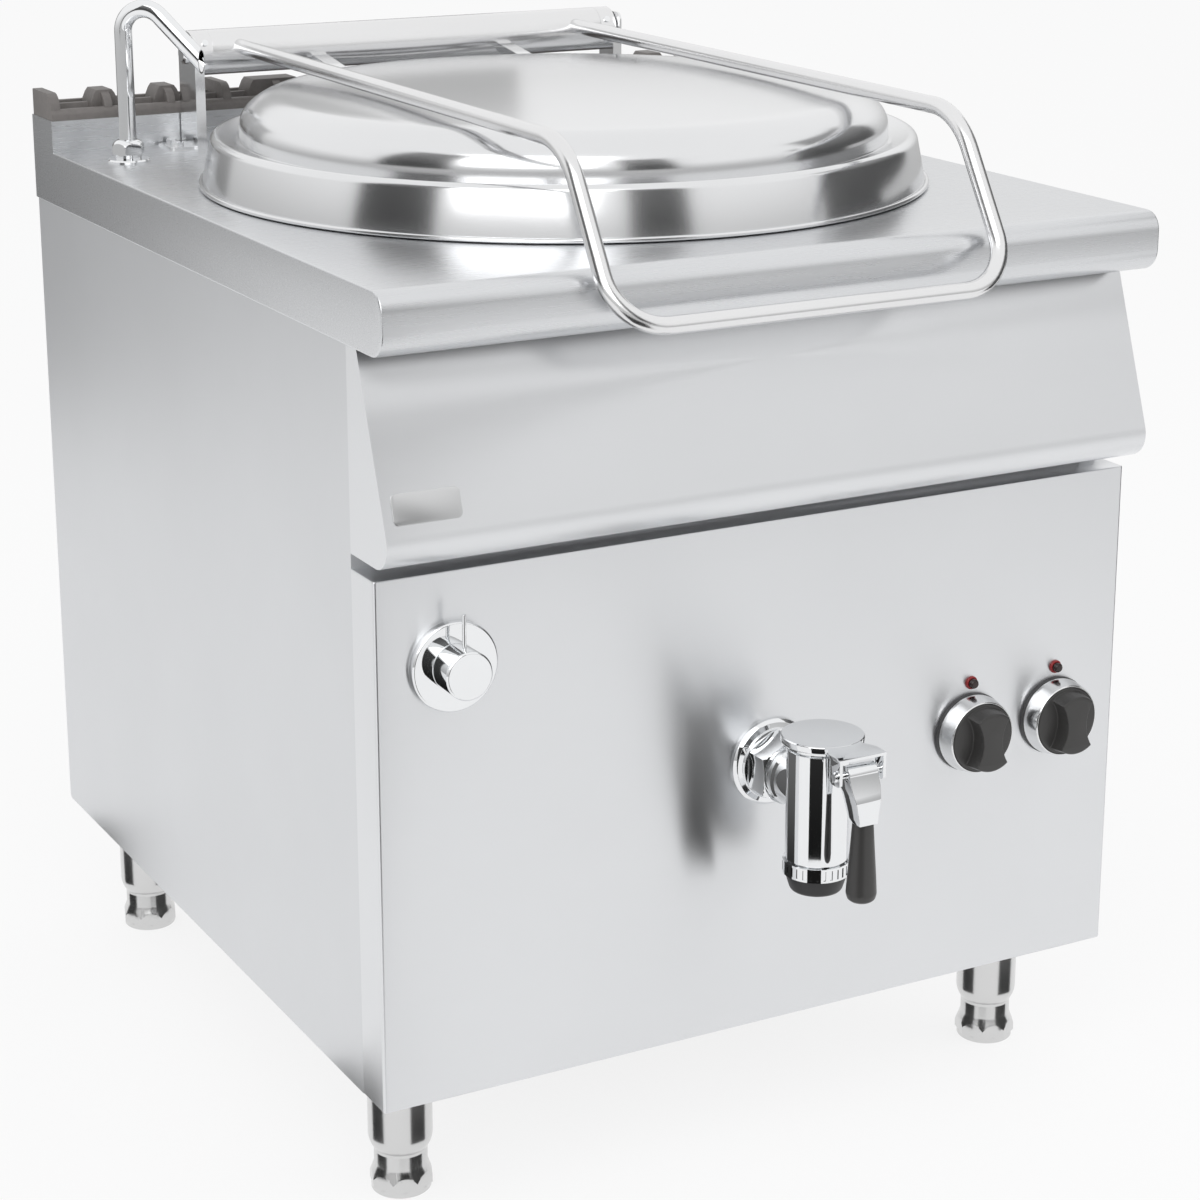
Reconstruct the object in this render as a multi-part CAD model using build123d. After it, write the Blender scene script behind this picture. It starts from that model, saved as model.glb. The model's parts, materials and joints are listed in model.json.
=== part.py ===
"""Steam jacketed kettle: a free-standing 800 mm wide boiling pan with a hinged, balanced lid.

Frame: millimetres, +Z up, origin on the floor under the middle of the whole outline.
The front of the kettle faces -Y and +X is on the user's right.
"""
from build123d import *
import math
import os

# ---------------------------------------------------------------- driving dimensions
WIDTH = 800.0             # worktop, side to side
BODY_WIDTH = 796.0        # cabinet below the worktop
FRONT = -349.0            # outer face of the front panel
REAR = 521.0              # back of the upstand
LEG_HEIGHT = 137.0        # floor to the lower edge of the panels
PANEL_TOP = 633.0         # upper edge of the front panel
FASCIA_BOTTOM = 647.0
SKIRT_BOTTOM = 830.0      # lower edge of the worktop's skirt
WORKTOP = 887.0           # working height
UPSTAND_TOP = 920.0
UPSTAND_FRONT = 456.0
SEAM = FRONT + 45.0       # vertical seam between front parts and side panels
SHEET = 1.5
TOP_SHEET = 2.0
GAP = 0.3                 # clearance between parts that move against each other

KETTLE_Y = 58.0           # axis of the round kettle
VESSEL_R = 300.0
VESSEL_WALL = 2.5
VESSEL_CYLINDER_BOTTOM = 565.0
VESSEL_BOTTOM = 455.0
VESSEL_KNUCKLE = 60.0     # inner radius between wall and dished bottom
RIM_R = 333.0
RIM_TOP = 890.0
JACKET_R = 335.0
JACKET_WALL = 3.0
JACKET_TOP = 840.0
JACKET_CYLINDER_BOTTOM = 355.0
JACKET_BOTTOM = 300.0
JACKET_KNUCKLE = 40.0
HEATER_HOLE_R = 62.0
JACKET_FITTINGS = {"valve": (-128.0, 760.0), "switch": (-52.0, 760.0)}  # degrees round the kettle, height
INSULATION_R = 354.0
INSULATION_TOP = 836.0

LID_LIP_R = 363.6
LID_SKIRT_R = 359.5
LID_SHOULDER_R = 351.5
LID_SHOULDER_Z = 937.5
LID_SHOULDER_FILLET = 8.0
LID_GROOVE_Z = 932.0
LID_DOME_R = 322.0
LID_DOME_WALL_TOP = 943.0
LID_CORNER_R = 45.0       # how far the dome's rounded edge reaches inwards
LID_CORNER_H = 34.0       # its height
LID_KNUCKLE = 27.0        # its smallest radius
LID_CROWN = 7.0
LID_SHEET = 1.5
LID_LOW = 891.0           # lower end of the skirt, inside the rolled edge
LID_BEAD_R = 2.4
COLLAR_R = 326.0          # ring inside the lid that carries the gasket
COLLAR_FLANGE = 8.0       # width of its inward flange
GASKET_TOP = RIM_TOP + 6.5

HINGE_Y = 434.0
HINGE_Z = 985.4
HINGE_R = 24.0
HINGE_WALL = 2.0
HINGE_HALF = 254.0
SLEEVE_LENGTH = 20.0
HINGE_SHAFT_R = 8.0
BRACKET_SHEET = 2.6
BRACKET_INNER = HINGE_HALF + 0.4

LUG_X = 112.0             # straps between lid and hinge tube
LUG_WIDTH = 17.0

HANDLE_X = 202.0
HANDLE_TUBE_R = 8.0
HANDLE_UPPER = (-329.0, 989.0)
HANDLE_BAR = (-421.0, 843.0)
HANDLE_ROOT_Z = 992.0

PIPE_Z = 401.0            # drain axis above the floor
PIPE_R = 24.15            # 1 1/2 inch tube
PIPE_WALL = 2.6
TAP_Y = FRONT - 82.0      # vertical axis of the tap body
TAP_BODY_R = 29.0
TAP_BORE_R = 22.0
TAP_THROAT_R = 20.0
TAP_OUTLET_R = 19.0
TAP_NOZZLE_END = 305.0
TAP_RING_BOTTOM = 321.5
TAP_RING_TOP = 334.5
TAP_SEAT_Z = 360.0
TAP_BODY_TOP = 441.0
TAP_CAP_TOP = 456.5
TAP_CAP_RIM = 7.0         # height of the cap's rim
TAP_CAP_SHEET = 3.0       # thickness of its tongue and ears
TAP_CAP_R = 38.0
TAP_CAP_Y = TAP_Y - 6.0
TAP_PIVOT_Y = FRONT - 147.5
TAP_PIVOT_Z = 439.0
TAP_EAR_X = 24.5          # half width over the cap's two ears
LEVER_HALF = 15.0
LEVER_PIN_R = 3.0
GRIP_TOP = 395.0
GRIP_BOTTOM = 320.0
GRIP_Y = TAP_PIVOT_Y - 8.5
PISTON_R = TAP_BORE_R - 0.05
STEM_R = 5.0

SPOUT_X = -348.0
SPOUT_Y = 366.0
SPOUT_R = 9.0
SPOUT_WALL = 1.2
SPOUT_AIM = (0.746, -0.666)
SPOUT_REACH = 84.0
SPOUT_BEND_R = 23.5
SPOUT_BEND_Z = WORKTOP + 133.5
SPOUT_TURN = 135.5        # degrees turned over by the bend

WATER_X = -325.0
WATER_Z = 548.0
WATER_PIPES_Y = -278.0
KNOBS_X = (226.0, 326.0)
KNOB_Z = 390.0
PILOT_Z = 439.5
INLETS_X = (-296.0, -252.0)
INLET_R = 13.2            # 3/4 inch male thread
INLET_LENGTH = 16.0
INLET_NECK_R = 11.8       # thread undercut and hole in the cabinet floor
INLET_NECK = 2.0
GLAND_X = 296.0
GLAND_R = 12.5            # M25 thread
GLAND_BORE_R = 8.0
ENTRY_Y = 400.0           # water and cable entries in the cabinet floor
FOOT_X = 336.0
FEET_Y = (-244.0, 444.0)
FOOT_NECK_R = 25.3
FOOT_NECK_TOP = 108.0
SLEEVE_R = 30.5
SLEEVE_BOTTOM = 40.0
FIT = 0.05                # radial clearance of running fits

FASCIA_TOP_Y = -325.6     # upper edge of the slanting fascia
FASCIA_LEAN = 0.3511      # how far it comes forward for each millimetre down
FASCIA_NOSE_R = 24.0

BULLNOSE_FRONT = -382.0
BULLNOSE_R = 18.0
BULLNOSE_LOW_R = 22.0

FLUE_FRONT = 454.0
FLUE_BACK = 516.0
FLUE_BAR_TOP = 932.0
TOOTH_TOP = 948.0
FLUE_PLATES = ((394.5, 11.0), (201.5, 9.0))        # distance from the middle, width
FLUE_HEADS = ((336.0, 26.0), (265.5, 25.0), (140.5, 59.0), (70.0, 26.0))

RAIL = 80.0               # base rails, width
RAIL_H = 30.0
TOP_RAIL = 40.0
POST = 38.0
POST_SHEET = 2.5

parts = {}
CENTRED = (Align.CENTER, Align.CENTER, Align.MIN)
HALF = BODY_WIDTH / 2
INSIDE = HALF - SHEET
FORWARD = (0, -1, 0)
BACKWARD = (0, 1, 0)
UP = (0, 0, 1)
DOWN = (0, 0, -1)
RIGHT = (1, 0, 0)


# ---------------------------------------------------------------- helpers
def box(x0, x1, y0, y1, z0, z1):
    """Rectangular block between two corners."""
    size = Box(x1 - x0, y1 - y0, z1 - z0)
    return Pos((x0 + x1) / 2, (y0 + y1) / 2, (z0 + z1) / 2) * size


def rod(radius, start, direction, length):
    """Round bar from a point along a direction."""
    return Plane(origin=start, z_dir=direction) * Cylinder(radius, length, align=CENTRED)


def ring(outer, inner, start, direction, length):
    """Round bar with a round bore."""
    return rod(outer, start, direction, length) - rod(inner, start, direction, length)


def turned(edges, centre=(0, 0)):
    """Solid of revolution about a vertical axis; edges are drawn as radius and height."""
    face = make_face(Plane.XZ * (Curve() + edges))
    return Pos(centre[0], centre[1], 0) * revolve(face, Axis.Z)


def turned_points(points, centre=(0, 0)):
    """Solid of revolution about a vertical axis from a closed outline of radius and height."""
    face = make_face(Plane.XZ * Polyline(*points, close=True))
    return Pos(centre[0], centre[1], 0) * revolve(face, Axis.Z)


def turned_along(points, start, direction):
    """Solid of revolution about any axis from a closed outline of radius and distance."""
    face = make_face(Plane.XZ * Polyline(*points, close=True))
    return Plane(origin=start, z_dir=direction) * revolve(face, Axis.Z)


def side_profile(edges, x0, x1):
    """Closed outline drawn as depth and height, extruded along X from x0 to x1."""
    face = make_face(Plane.YZ * (Curve() + edges))
    return Pos(x0, 0, 0) * extrude(face, x1 - x0, dir=RIGHT)


def side_polygon(points, x0, x1):
    """Polygon drawn as depth and height, extruded along X from x0 to x1."""
    return side_profile([Polyline(*points, close=True)], x0, x1)


def hexagon(across_flats, start, direction, length):
    """Hexagonal bar."""
    outline = RegularPolygon(across_flats / 2, 6, major_radius=False)
    return extrude(Plane(origin=start, z_dir=direction) * outline, length)


def chamfered_hexagon(across_flats, start, direction, length):
    """Hexagonal nut blank with both ends turned to a cone."""
    corner = across_flats / math.sqrt(3)
    bevel = (corner - across_flats / 2) * 0.6
    flat = across_flats / 2 + 0.2
    outline = [(0, 0), (flat, 0), (corner, bevel), (corner, length - bevel), (flat, length), (0, length)]
    return hexagon(across_flats, start, direction, length) & turned_along(outline, start, direction)


def swept(points, radii, radius, wall=0.0):
    """Bent tube along runs joined by tangent arcs."""
    path = FilletPolyline(*points, radius=radii) if radii else Line(*points)
    start = Plane(origin=path @ 0, z_dir=path % 0)
    tube = sweep(start * Circle(radius), path=path)
    return tube - sweep(start * Circle(radius - wall), path=path) if wall else tube


def group(solids):
    """Several separate solids kept as one node."""
    return Compound(children=list(solids))


def mirrored(solid):
    """The solid and its mirror image across the middle of the kettle, as one node."""
    return group([solid, mirror(solid, about=Plane.YZ)])


# ---------------------------------------------------------------- frame and panels
def make_base_rails():
    """Four closed sections standing on the bottom panel."""
    low = LEG_HEIGHT + SHEET
    top = low + RAIL_H
    wall = 2.0
    back = REAR - 1 - SHEET
    rails = []
    for side in (-1, 1):
        outer, inner = sorted((side * INSIDE, side * (INSIDE - RAIL)))
        tube = box(outer, inner, SEAM, back, low, top)
        hollow = box(outer + wall, inner - wall, SEAM, back, low + wall, top - wall)
        rails.append(tube - hollow)
    reach = INSIDE - RAIL
    for y0 in (SEAM, back - RAIL):
        tube = box(-reach, reach, y0, y0 + RAIL, low, top)
        rails.append(tube - box(-reach, reach, y0 + wall, y0 + RAIL - wall, low + wall, top - wall))
    return rails


def make_corner_posts():
    """Angle-section uprights in the four corners."""
    low = LEG_HEIGHT + SHEET + RAIL_H
    top = WORKTOP - TOP_SHEET - TOP_RAIL
    posts = []
    for side in (-1, 1):
        for y_face, inward in ((SEAM + SHEET, 1), (REAR - 1 - SHEET, -1)):
            x0, x1 = sorted((side * INSIDE, side * (INSIDE - POST)))
            y0, y1 = sorted((y_face, y_face + inward * POST))
            post = box(x0, x1, y0, y1, low, top)
            a0, a1 = sorted((side * (INSIDE - POST_SHEET), side * (INSIDE - POST - 1)))
            b0, b1 = sorted((y_face + inward * POST_SHEET, y_face + inward * (POST + 1)))
            posts.append(post - box(a0, a1, b0, b1, low, top))
    return posts


def make_top_rails():
    """Rails under the worktop."""
    top = WORKTOP - TOP_SHEET
    low = top - TOP_RAIL
    back = REAR - 1 - SHEET
    wall = 2.0
    rails = []
    for side in (-1, 1):
        outer, inner = sorted((side * INSIDE, side * (INSIDE - TOP_RAIL)))
        tube = box(outer, inner, SEAM + SHEET, back, low, top)
        rails.append(tube - box(outer + wall, inner - wall, SEAM, REAR, low + wall, top - wall))
    for y0, reach in ((SEAM + SHEET - TOP_RAIL, INSIDE), (back - TOP_RAIL, INSIDE - TOP_RAIL)):
        tube = box(-reach, reach, y0, y0 + TOP_RAIL, low, top)
        rails.append(tube - box(-reach, reach, y0 + wall, y0 + TOP_RAIL - wall, low + wall, top - wall))
    return rails


def make_gap_strip():
    """Cross-member behind the gap between the front panel and the fascia."""
    reach = INSIDE - POST
    y0 = SEAM + SHEET
    strip = box(-reach, reach, y0, y0 + SHEET, PANEL_TOP - 22, FASCIA_BOTTOM + 22)
    return [strip + box(-reach, reach, y0, y0 + 5, FASCIA_BOTTOM + 20.5, FASCIA_BOTTOM + 22)]


def make_frame():
    """Welded frame: rails round the floor and under the worktop, four posts and a cross-member."""
    return group(make_base_rails() + make_corner_posts() + make_top_rails() + make_gap_strip())


def make_side_panel(side):
    """Side panel with a return at the front and at the rear and a rounded lower rear corner."""
    back = REAR - 1
    fold = 18.0
    low, top = LEG_HEIGHT, SKIRT_BOTTOM
    return_low = low + RAIL_H + SHEET
    plate = box(INSIDE, HALF, SEAM, back, low, top)
    lower_corner = plate.edges().filter_by(Axis.X).group_by(Axis.Z)[0].sort_by(Axis.Y)[-1]
    panel = fillet(lower_corner, 6)
    panel += box(INSIDE - fold, INSIDE, SEAM, SEAM + SHEET, return_low, top)
    panel += box(INSIDE - fold, INSIDE, back - SHEET, back, return_low, top)
    return panel if side > 0 else mirror(panel, about=Plane.YZ)


def make_rear_panel():
    """Back sheet with two rows of vent slots."""
    back = REAR - 1
    reach = INSIDE - 18.0
    panel = box(-reach, reach, back - SHEET, back, LEG_HEIGHT, SKIRT_BOTTOM)
    slot = extrude(Plane.XZ * SlotOverall(60, 8), 20, both=True)
    for z in (250, 760):
        for i in range(8):
            panel -= Pos((i - 3.5) * 80, back, z) * slot
    return panel


def make_bottom_panel():
    """Floor of the cabinet, open in the middle for service and cooling air."""
    back = REAR - 1 - SHEET
    panel = box(-INSIDE, INSIDE, SEAM, back, LEG_HEIGHT, LEG_HEIGHT + SHEET)
    opening = box(-230, 230, -140, 260, LEG_HEIGHT - 1, LEG_HEIGHT + SHEET + 1)
    panel -= fillet(opening.edges().filter_by(Axis.Z), 40)
    for x, radius in ((INLETS_X[0], INLET_NECK_R), (INLETS_X[1], INLET_NECK_R), (GLAND_X, GLAND_R)):
        panel -= rod(radius, (x, ENTRY_Y, LEG_HEIGHT - 5), UP, 20)
    return panel


def make_front_panel():
    """Deep front pan, open at the back, with the openings for tap, knobs and lamps."""
    outer = box(-HALF, HALF, FRONT, SEAM, LEG_HEIGHT, PANEL_TOP)
    outer = fillet(outer.edges().filter_by(Axis.Z).group_by(Axis.Y)[0], 3)
    outer = fillet(outer.edges().group_by(Axis.Y)[0], 1.2)
    inner = box(-INSIDE, INSIDE, FRONT + SHEET, SEAM + 1, LEG_HEIGHT + SHEET, PANEL_TOP - SHEET)
    pan = outer - inner
    pan -= rod(PIPE_R, (0, FRONT - 5, PIPE_Z), BACKWARD, 10)
    pan -= rod(12, (WATER_X, FRONT - 5, WATER_Z), BACKWARD, 10)
    for x in KNOBS_X:
        pan -= rod(10, (x, FRONT - 5, KNOB_Z), BACKWARD, 10)
        pan -= rod(4.5, (x, FRONT - 5, PILOT_Z), BACKWARD, 10)
    return pan


def fascia_outline(inset, back):
    """Slanting panel that turns under in a rounded nose, as depth and height."""
    length = math.hypot(1, FASCIA_LEAN)
    low_corner = FASCIA_TOP_Y - FASCIA_LEAN * (SKIRT_BOTTOM - FASCIA_BOTTOM)
    centre = (low_corner + FASCIA_NOSE_R * (length + FASCIA_LEAN), FASCIA_BOTTOM + FASCIA_NOSE_R)
    radius = FASCIA_NOSE_R - inset
    normal = (-1 / length, FASCIA_LEAN / length)
    start = (centre[0] + radius * normal[0], centre[1] + radius * normal[1])
    bisector = math.atan2(normal[1] - 1, normal[0])
    middle = (centre[0] + radius * math.cos(bisector), centre[1] + radius * math.sin(bisector))
    end = (centre[0], centre[1] - radius)
    high = SKIRT_BOTTOM - inset
    top = (start[0] + (high - start[1]) * FASCIA_LEAN, high)
    return [
        Line((back, high), top),
        Line(top, start),
        ThreePointArc(start, middle, end),
        Line(end, (back, end[1])),
        Line((back, end[1]), (back, high)),
    ]


def make_control_fascia():
    """Upper front cover: one folded sheet closed at both ends, open at the back."""
    shell = side_profile(fascia_outline(0, SEAM), -HALF, HALF)
    return shell - side_profile(fascia_outline(SHEET, SEAM + 1), -INSIDE, INSIDE)


def make_badge_plate():
    """Bare plate bonded to the slanting fascia near its lower left corner."""
    normal = (0, -1, FASCIA_LEAN)
    slope = Plane(origin=(0, FASCIA_TOP_Y, SKIRT_BOTTOM), x_dir=RIGHT, z_dir=normal)
    outline = Pos(-357, -137.5) * RectangleRounded(64, 27, 5)
    return extrude(slope * outline, 0.8)


# ---------------------------------------------------------------- worktop and flue
def worktop_outline(inset, low):
    """Rounded front edge, flat top and square upstand, as depth and height."""
    front = BULLNOSE_FRONT + inset
    top = WORKTOP - inset
    r_top = BULLNOSE_R - inset
    r_low = BULLNOSE_LOW_R - inset
    low_y = BULLNOSE_FRONT + BULLNOSE_LOW_R
    bottom = SKIRT_BOTTOM + inset
    corner = r_top * math.sqrt(0.5)
    dip = r_low * math.sqrt(0.5)
    top_centre = (front + r_top, top - r_top)
    low_centre = (low_y, bottom + r_low)
    edges = [
        ThreePointArc((low_y, bottom), (low_centre[0] - dip, low_centre[1] - dip), (front, low_centre[1])),
        Line((front, low_centre[1]), (front, top_centre[1])),
        ThreePointArc(
            (front, top_centre[1]), (top_centre[0] - corner, top_centre[1] + corner), (top_centre[0], top)
        ),
        Line((top_centre[0], top), (UPSTAND_FRONT + inset, top)),
        Line((UPSTAND_FRONT + inset, top), (UPSTAND_FRONT + inset, UPSTAND_TOP - inset)),
        Line((UPSTAND_FRONT + inset, UPSTAND_TOP - inset), (REAR - inset, UPSTAND_TOP - inset)),
        Line((REAR - inset, UPSTAND_TOP - inset), (REAR - inset, low)),
        Line((REAR - inset, low), (low_y, low)),
    ]
    if low < bottom:
        edges.append(Line((low_y, low), (low_y, bottom)))
    return edges


def make_worktop():
    """Pressed top with the kettle opening, a bullnose front edge and the rear upstand."""
    half = WIDTH / 2
    top = side_profile(worktop_outline(0, SKIRT_BOTTOM), -half, half)
    rims = top.edges().filter_by(GeomType.LINE).filter_by(Axis.Y).filter_by_position(Axis.Z, 880, 890)
    top = fillet(rims, 1.8)
    top -= side_profile(worktop_outline(TOP_SHEET, SKIRT_BOTTOM - 5), -half + TOP_SHEET, half - TOP_SHEET)
    top -= rod(VESSEL_R + VESSEL_WALL, (0, KETTLE_Y, WORKTOP - 20), UP, 40)
    top -= rod(7.5, (SPOUT_X, SPOUT_Y, WORKTOP - 20), UP, 40)
    for i in range(6):
        x0 = -372 + i * 126
        top -= box(x0, x0 + 114, 474, 504, UPSTAND_TOP - 10, UPSTAND_TOP + 10)
    return top


def flue_profile(back, top):
    """Side outline of a raised piece whose front leans back in a curve."""
    front = FLUE_FRONT + 3
    return [
        Line((front, UPSTAND_TOP), (front, FLUE_BAR_TOP)),
        ThreePointArc((front, FLUE_BAR_TOP), (front + 5, top - 5), (front + 14, top)),
        Line((front + 14, top), (back, top)),
        Line((back, top), (back, UPSTAND_TOP)),
        Line((back, UPSTAND_TOP), (front, UPSTAND_TOP)),
    ]


def make_flue_head(x, width):
    """Raised head that tapers upwards behind a narrow front column."""
    column = side_profile(flue_profile(FLUE_FRONT + 24, TOOTH_TOP - 2), x - 4.5, x + 4.5)
    half = width / 2
    outline = [
        (-half - 3, UPSTAND_TOP), (-half - 2, FLUE_BAR_TOP + 4), (-half + 1.5, TOOTH_TOP - 4),
        (-half + 4.5, TOOTH_TOP), (half - 4.5, TOOTH_TOP), (half - 1.5, TOOTH_TOP - 4),
        (half + 2, FLUE_BAR_TOP + 4), (half + 3, UPSTAND_TOP),
    ]
    face = make_face(Plane.XZ * Polyline(*outline, close=True))
    head = Pos(x, FLUE_FRONT + 16, 0) * extrude(face, 30, dir=BACKWARD)
    return column + head


def make_flue_grille():
    """Cast grille of long bars crossed by full-depth plates and raised heads."""
    half = WIDTH / 2
    bar_front = FLUE_FRONT + 7
    grille = side_profile(
        [
            Line((FLUE_FRONT, UPSTAND_TOP), (FLUE_FRONT, FLUE_BAR_TOP - 7)),
            ThreePointArc(
                (FLUE_FRONT, FLUE_BAR_TOP - 7), (FLUE_FRONT + 2.1, FLUE_BAR_TOP - 2.1), (bar_front, FLUE_BAR_TOP)
            ),
            Line((bar_front, FLUE_BAR_TOP), (bar_front + 7, UPSTAND_TOP)),
            Line((bar_front + 7, UPSTAND_TOP), (FLUE_FRONT, UPSTAND_TOP)),
        ],
        -half,
        half,
    )
    for y in (478.0, 504.0):
        bar = [(y, UPSTAND_TOP), (y + 2, FLUE_BAR_TOP + 3), (y + 8, FLUE_BAR_TOP + 3), (y + 12, UPSTAND_TOP)]
        grille += side_polygon(bar, -half, half)
    for side in (-1, 1):
        for x, width in FLUE_PLATES:
            x0 = side * x - width / 2
            grille += side_profile(flue_profile(FLUE_BACK, TOOTH_TOP), x0, x0 + width)
        for x, width in FLUE_HEADS:
            grille += make_flue_head(side * x, width)
    return grille + make_flue_head(0, 26.0)


# ---------------------------------------------------------------- legs
def make_leg_sleeves():
    """Tubular legs with a rounded lower edge and a blind bore for the foot."""
    edges = [
        Line((0, LEG_HEIGHT), (SLEEVE_R, LEG_HEIGHT)),
        Line((SLEEVE_R, LEG_HEIGHT), (SLEEVE_R, SLEEVE_BOTTOM + 18)),
        ThreePointArc(
            (SLEEVE_R, SLEEVE_BOTTOM + 18),
            (SLEEVE_R - 1.2, SLEEVE_BOTTOM + 8),
            (SLEEVE_R - 4.2, SLEEVE_BOTTOM),
        ),
        Line((SLEEVE_R - 4.2, SLEEVE_BOTTOM), (FOOT_NECK_R + FIT, SLEEVE_BOTTOM)),
        Line((FOOT_NECK_R + FIT, SLEEVE_BOTTOM), (FOOT_NECK_R + FIT, FOOT_NECK_TOP + 4)),
        Line((FOOT_NECK_R + FIT, FOOT_NECK_TOP + 4), (0, FOOT_NECK_TOP + 4)),
        Line((0, FOOT_NECK_TOP + 4), (0, LEG_HEIGHT)),
    ]
    return group([turned(edges, (side * FOOT_X, y)) for side in (-1, 1) for y in FEET_Y])


def make_foot(x, y):
    """Adjustable foot: a round neck over an eight-sided flare and a base pad."""
    neck = rod(FOOT_NECK_R, (0, 0, 26), UP, FOOT_NECK_TOP - 26)
    octagon = extrude(Rot(0, 0, 28.5 + 22.5) * RegularPolygon(30.4, 8), 27)
    cone = turned_points([(0, 6), (31, 6), (31, 12), (FOOT_NECK_R, 27), (0, 27)])
    pad = turned_points([(0, 0), (27.2, 0), (28.2, 1), (28.2, 6), (0, 6)])
    return Pos(x, y, 0) * (neck + (octagon & cone) + pad)


# ---------------------------------------------------------------- kettle
def dished(radius, knuckle, depth, level, hole=0.0, up=False):
    """Arcs of a dished end, from the wall inwards to the axis or to a central hole."""
    crown = ((radius - knuckle) ** 2 + depth**2 - knuckle**2) / (2 * (depth - knuckle))
    centre = crown - depth
    sign = 1 if up else -1

    def on_crown(angle):
        return (crown * math.sin(angle), level + sign * (crown * math.cos(angle) - centre))

    def on_knuckle(angle):
        return (radius - knuckle + knuckle * math.sin(angle), level + sign * knuckle * math.cos(angle))

    join = math.atan2(radius - knuckle, centre)
    inner = math.asin(hole / crown)
    return [
        ThreePointArc((radius, level), on_knuckle((join + math.pi / 2) / 2), on_crown(join)),
        ThreePointArc(on_crown(join), on_crown((join + inner) / 2), on_crown(inner)),
    ]


def make_vessel():
    """Cooking vessel: cylinder with a dished bottom, a drain hole and a flanged rim."""
    outer_r = VESSEL_R + VESSEL_WALL
    drain = PIPE_R - PIPE_WALL
    depth = VESSEL_CYLINDER_BOTTOM - VESSEL_BOTTOM
    inside = dished(VESSEL_R, VESSEL_KNUCKLE, depth, VESSEL_CYLINDER_BOTTOM, drain)
    outside = dished(
        outer_r, VESSEL_KNUCKLE + VESSEL_WALL, depth + VESSEL_WALL, VESSEL_CYLINDER_BOTTOM, drain
    )
    edges = inside + outside + [
        Line(inside[-1] @ 1, outside[-1] @ 1),
        Line((outer_r, VESSEL_CYLINDER_BOTTOM), (outer_r, WORKTOP)),
        Line((outer_r, WORKTOP), (RIM_R, WORKTOP)),
        Line((RIM_R, WORKTOP), (RIM_R, RIM_TOP - 1)),
        ThreePointArc((RIM_R, RIM_TOP - 1), (RIM_R - 0.3, RIM_TOP - 0.3), (RIM_R - 1, RIM_TOP)),
        Line((RIM_R - 1, RIM_TOP), (VESSEL_R + 4, RIM_TOP)),
        ThreePointArc((VESSEL_R + 4, RIM_TOP), (VESSEL_R + 1.17, RIM_TOP - 1.17), (VESSEL_R, RIM_TOP - 4)),
        Line((VESSEL_R, RIM_TOP - 4), (VESSEL_R, VESSEL_CYLINDER_BOTTOM)),
    ]
    return turned(edges, (0, KETTLE_Y))


def jacket_shape(inset):
    """The jacket's outer form, or its inside when inset, as a filled solid."""
    radius = JACKET_R - inset
    top = JACKET_TOP - inset
    depth = JACKET_CYLINDER_BOTTOM - JACKET_BOTTOM - inset
    bottom = dished(radius, JACKET_KNUCKLE - inset, depth, JACKET_CYLINDER_BOTTOM)
    edges = bottom + [
        Line((radius, JACKET_CYLINDER_BOTTOM), (radius, top)),
        Line((radius, top), (0, top)),
        Line((0, top), bottom[-1] @ 1),
    ]
    return turned(edges, (0, KETTLE_Y))


def make_steam_jacket():
    """Pressure jacket welded to the vessel wall, with a dished bottom and the heater opening."""
    jacket = jacket_shape(0) - jacket_shape(JACKET_WALL)
    jacket -= rod(VESSEL_R + VESSEL_WALL, (0, KETTLE_Y, JACKET_TOP - 20), UP, 40)
    jacket -= rod(PIPE_R, (0, KETTLE_Y - 200, PIPE_Z), FORWARD, 200)
    jacket -= rod(HEATER_HOLE_R, (0, KETTLE_Y, JACKET_BOTTOM - 5), UP, 20)
    for fitting in JACKET_FITTINGS:
        jacket -= rod(9, radial_point(fitting, 300), radial(fitting), 60)
    return jacket


def radial(name_angle):
    """Outward direction at the given angle around the kettle."""
    angle = math.radians(JACKET_FITTINGS[name_angle][0])
    return (math.cos(angle), math.sin(angle), 0)


def radial_point(name_angle, distance):
    """Point on a radial line at the given distance from the kettle's axis."""
    direction = radial(name_angle)
    return (direction[0] * distance, KETTLE_Y + direction[1] * distance, JACKET_FITTINGS[name_angle][1])


def make_insulation():
    """Mineral wool blanket round the jacket."""
    height = INSULATION_TOP - JACKET_CYLINDER_BOTTOM
    blanket = ring(INSULATION_R, JACKET_R, (0, KETTLE_Y, JACKET_CYLINDER_BOTTOM), UP, height)
    blanket -= rod(PIPE_R, (0, KETTLE_Y - 200, PIPE_Z), FORWARD, 200)
    for fitting in JACKET_FITTINGS:
        blanket -= rod(9, radial_point(fitting, 300), radial(fitting), 80)
    return blanket


def make_jacket_fitting(name, body_r, body_length):
    """Screwed fitting on the jacket wall: a neck, a hexagon and a turned body."""
    start = radial_point(name, JACKET_R - JACKET_WALL)
    neck = rod(9, start, radial(name), 30)
    nut = hexagon(24, radial_point(name, INSULATION_R + 1), radial(name), 9)
    body = turned_along(
        [(0, 0), (body_r, 0), (body_r, body_length - 6), (body_r * 0.6, body_length), (0, body_length)],
        radial_point(name, INSULATION_R + 10),
        radial(name),
    )
    return neck + nut + body


def make_heating_elements():
    """Three hairpin tubular heaters standing on the heater flange, turned outwards in the water."""
    heaters = []
    for index in range(3):
        angle = index * 120 + 90
        hairpin = [
            (25, -14, JACKET_BOTTOM), (25, -14, JACKET_BOTTOM + 45), (235, -14, JACKET_BOTTOM + 45),
            (235, 14, JACKET_BOTTOM + 45), (25, 14, JACKET_BOTTOM + 45), (25, 14, JACKET_BOTTOM),
        ]
        heaters.append(Pos(0, KETTLE_Y, 0) * Rot(0, 0, angle) * swept(hairpin, [13, 13, 13, 13], 4.2))
    return heaters


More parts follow.
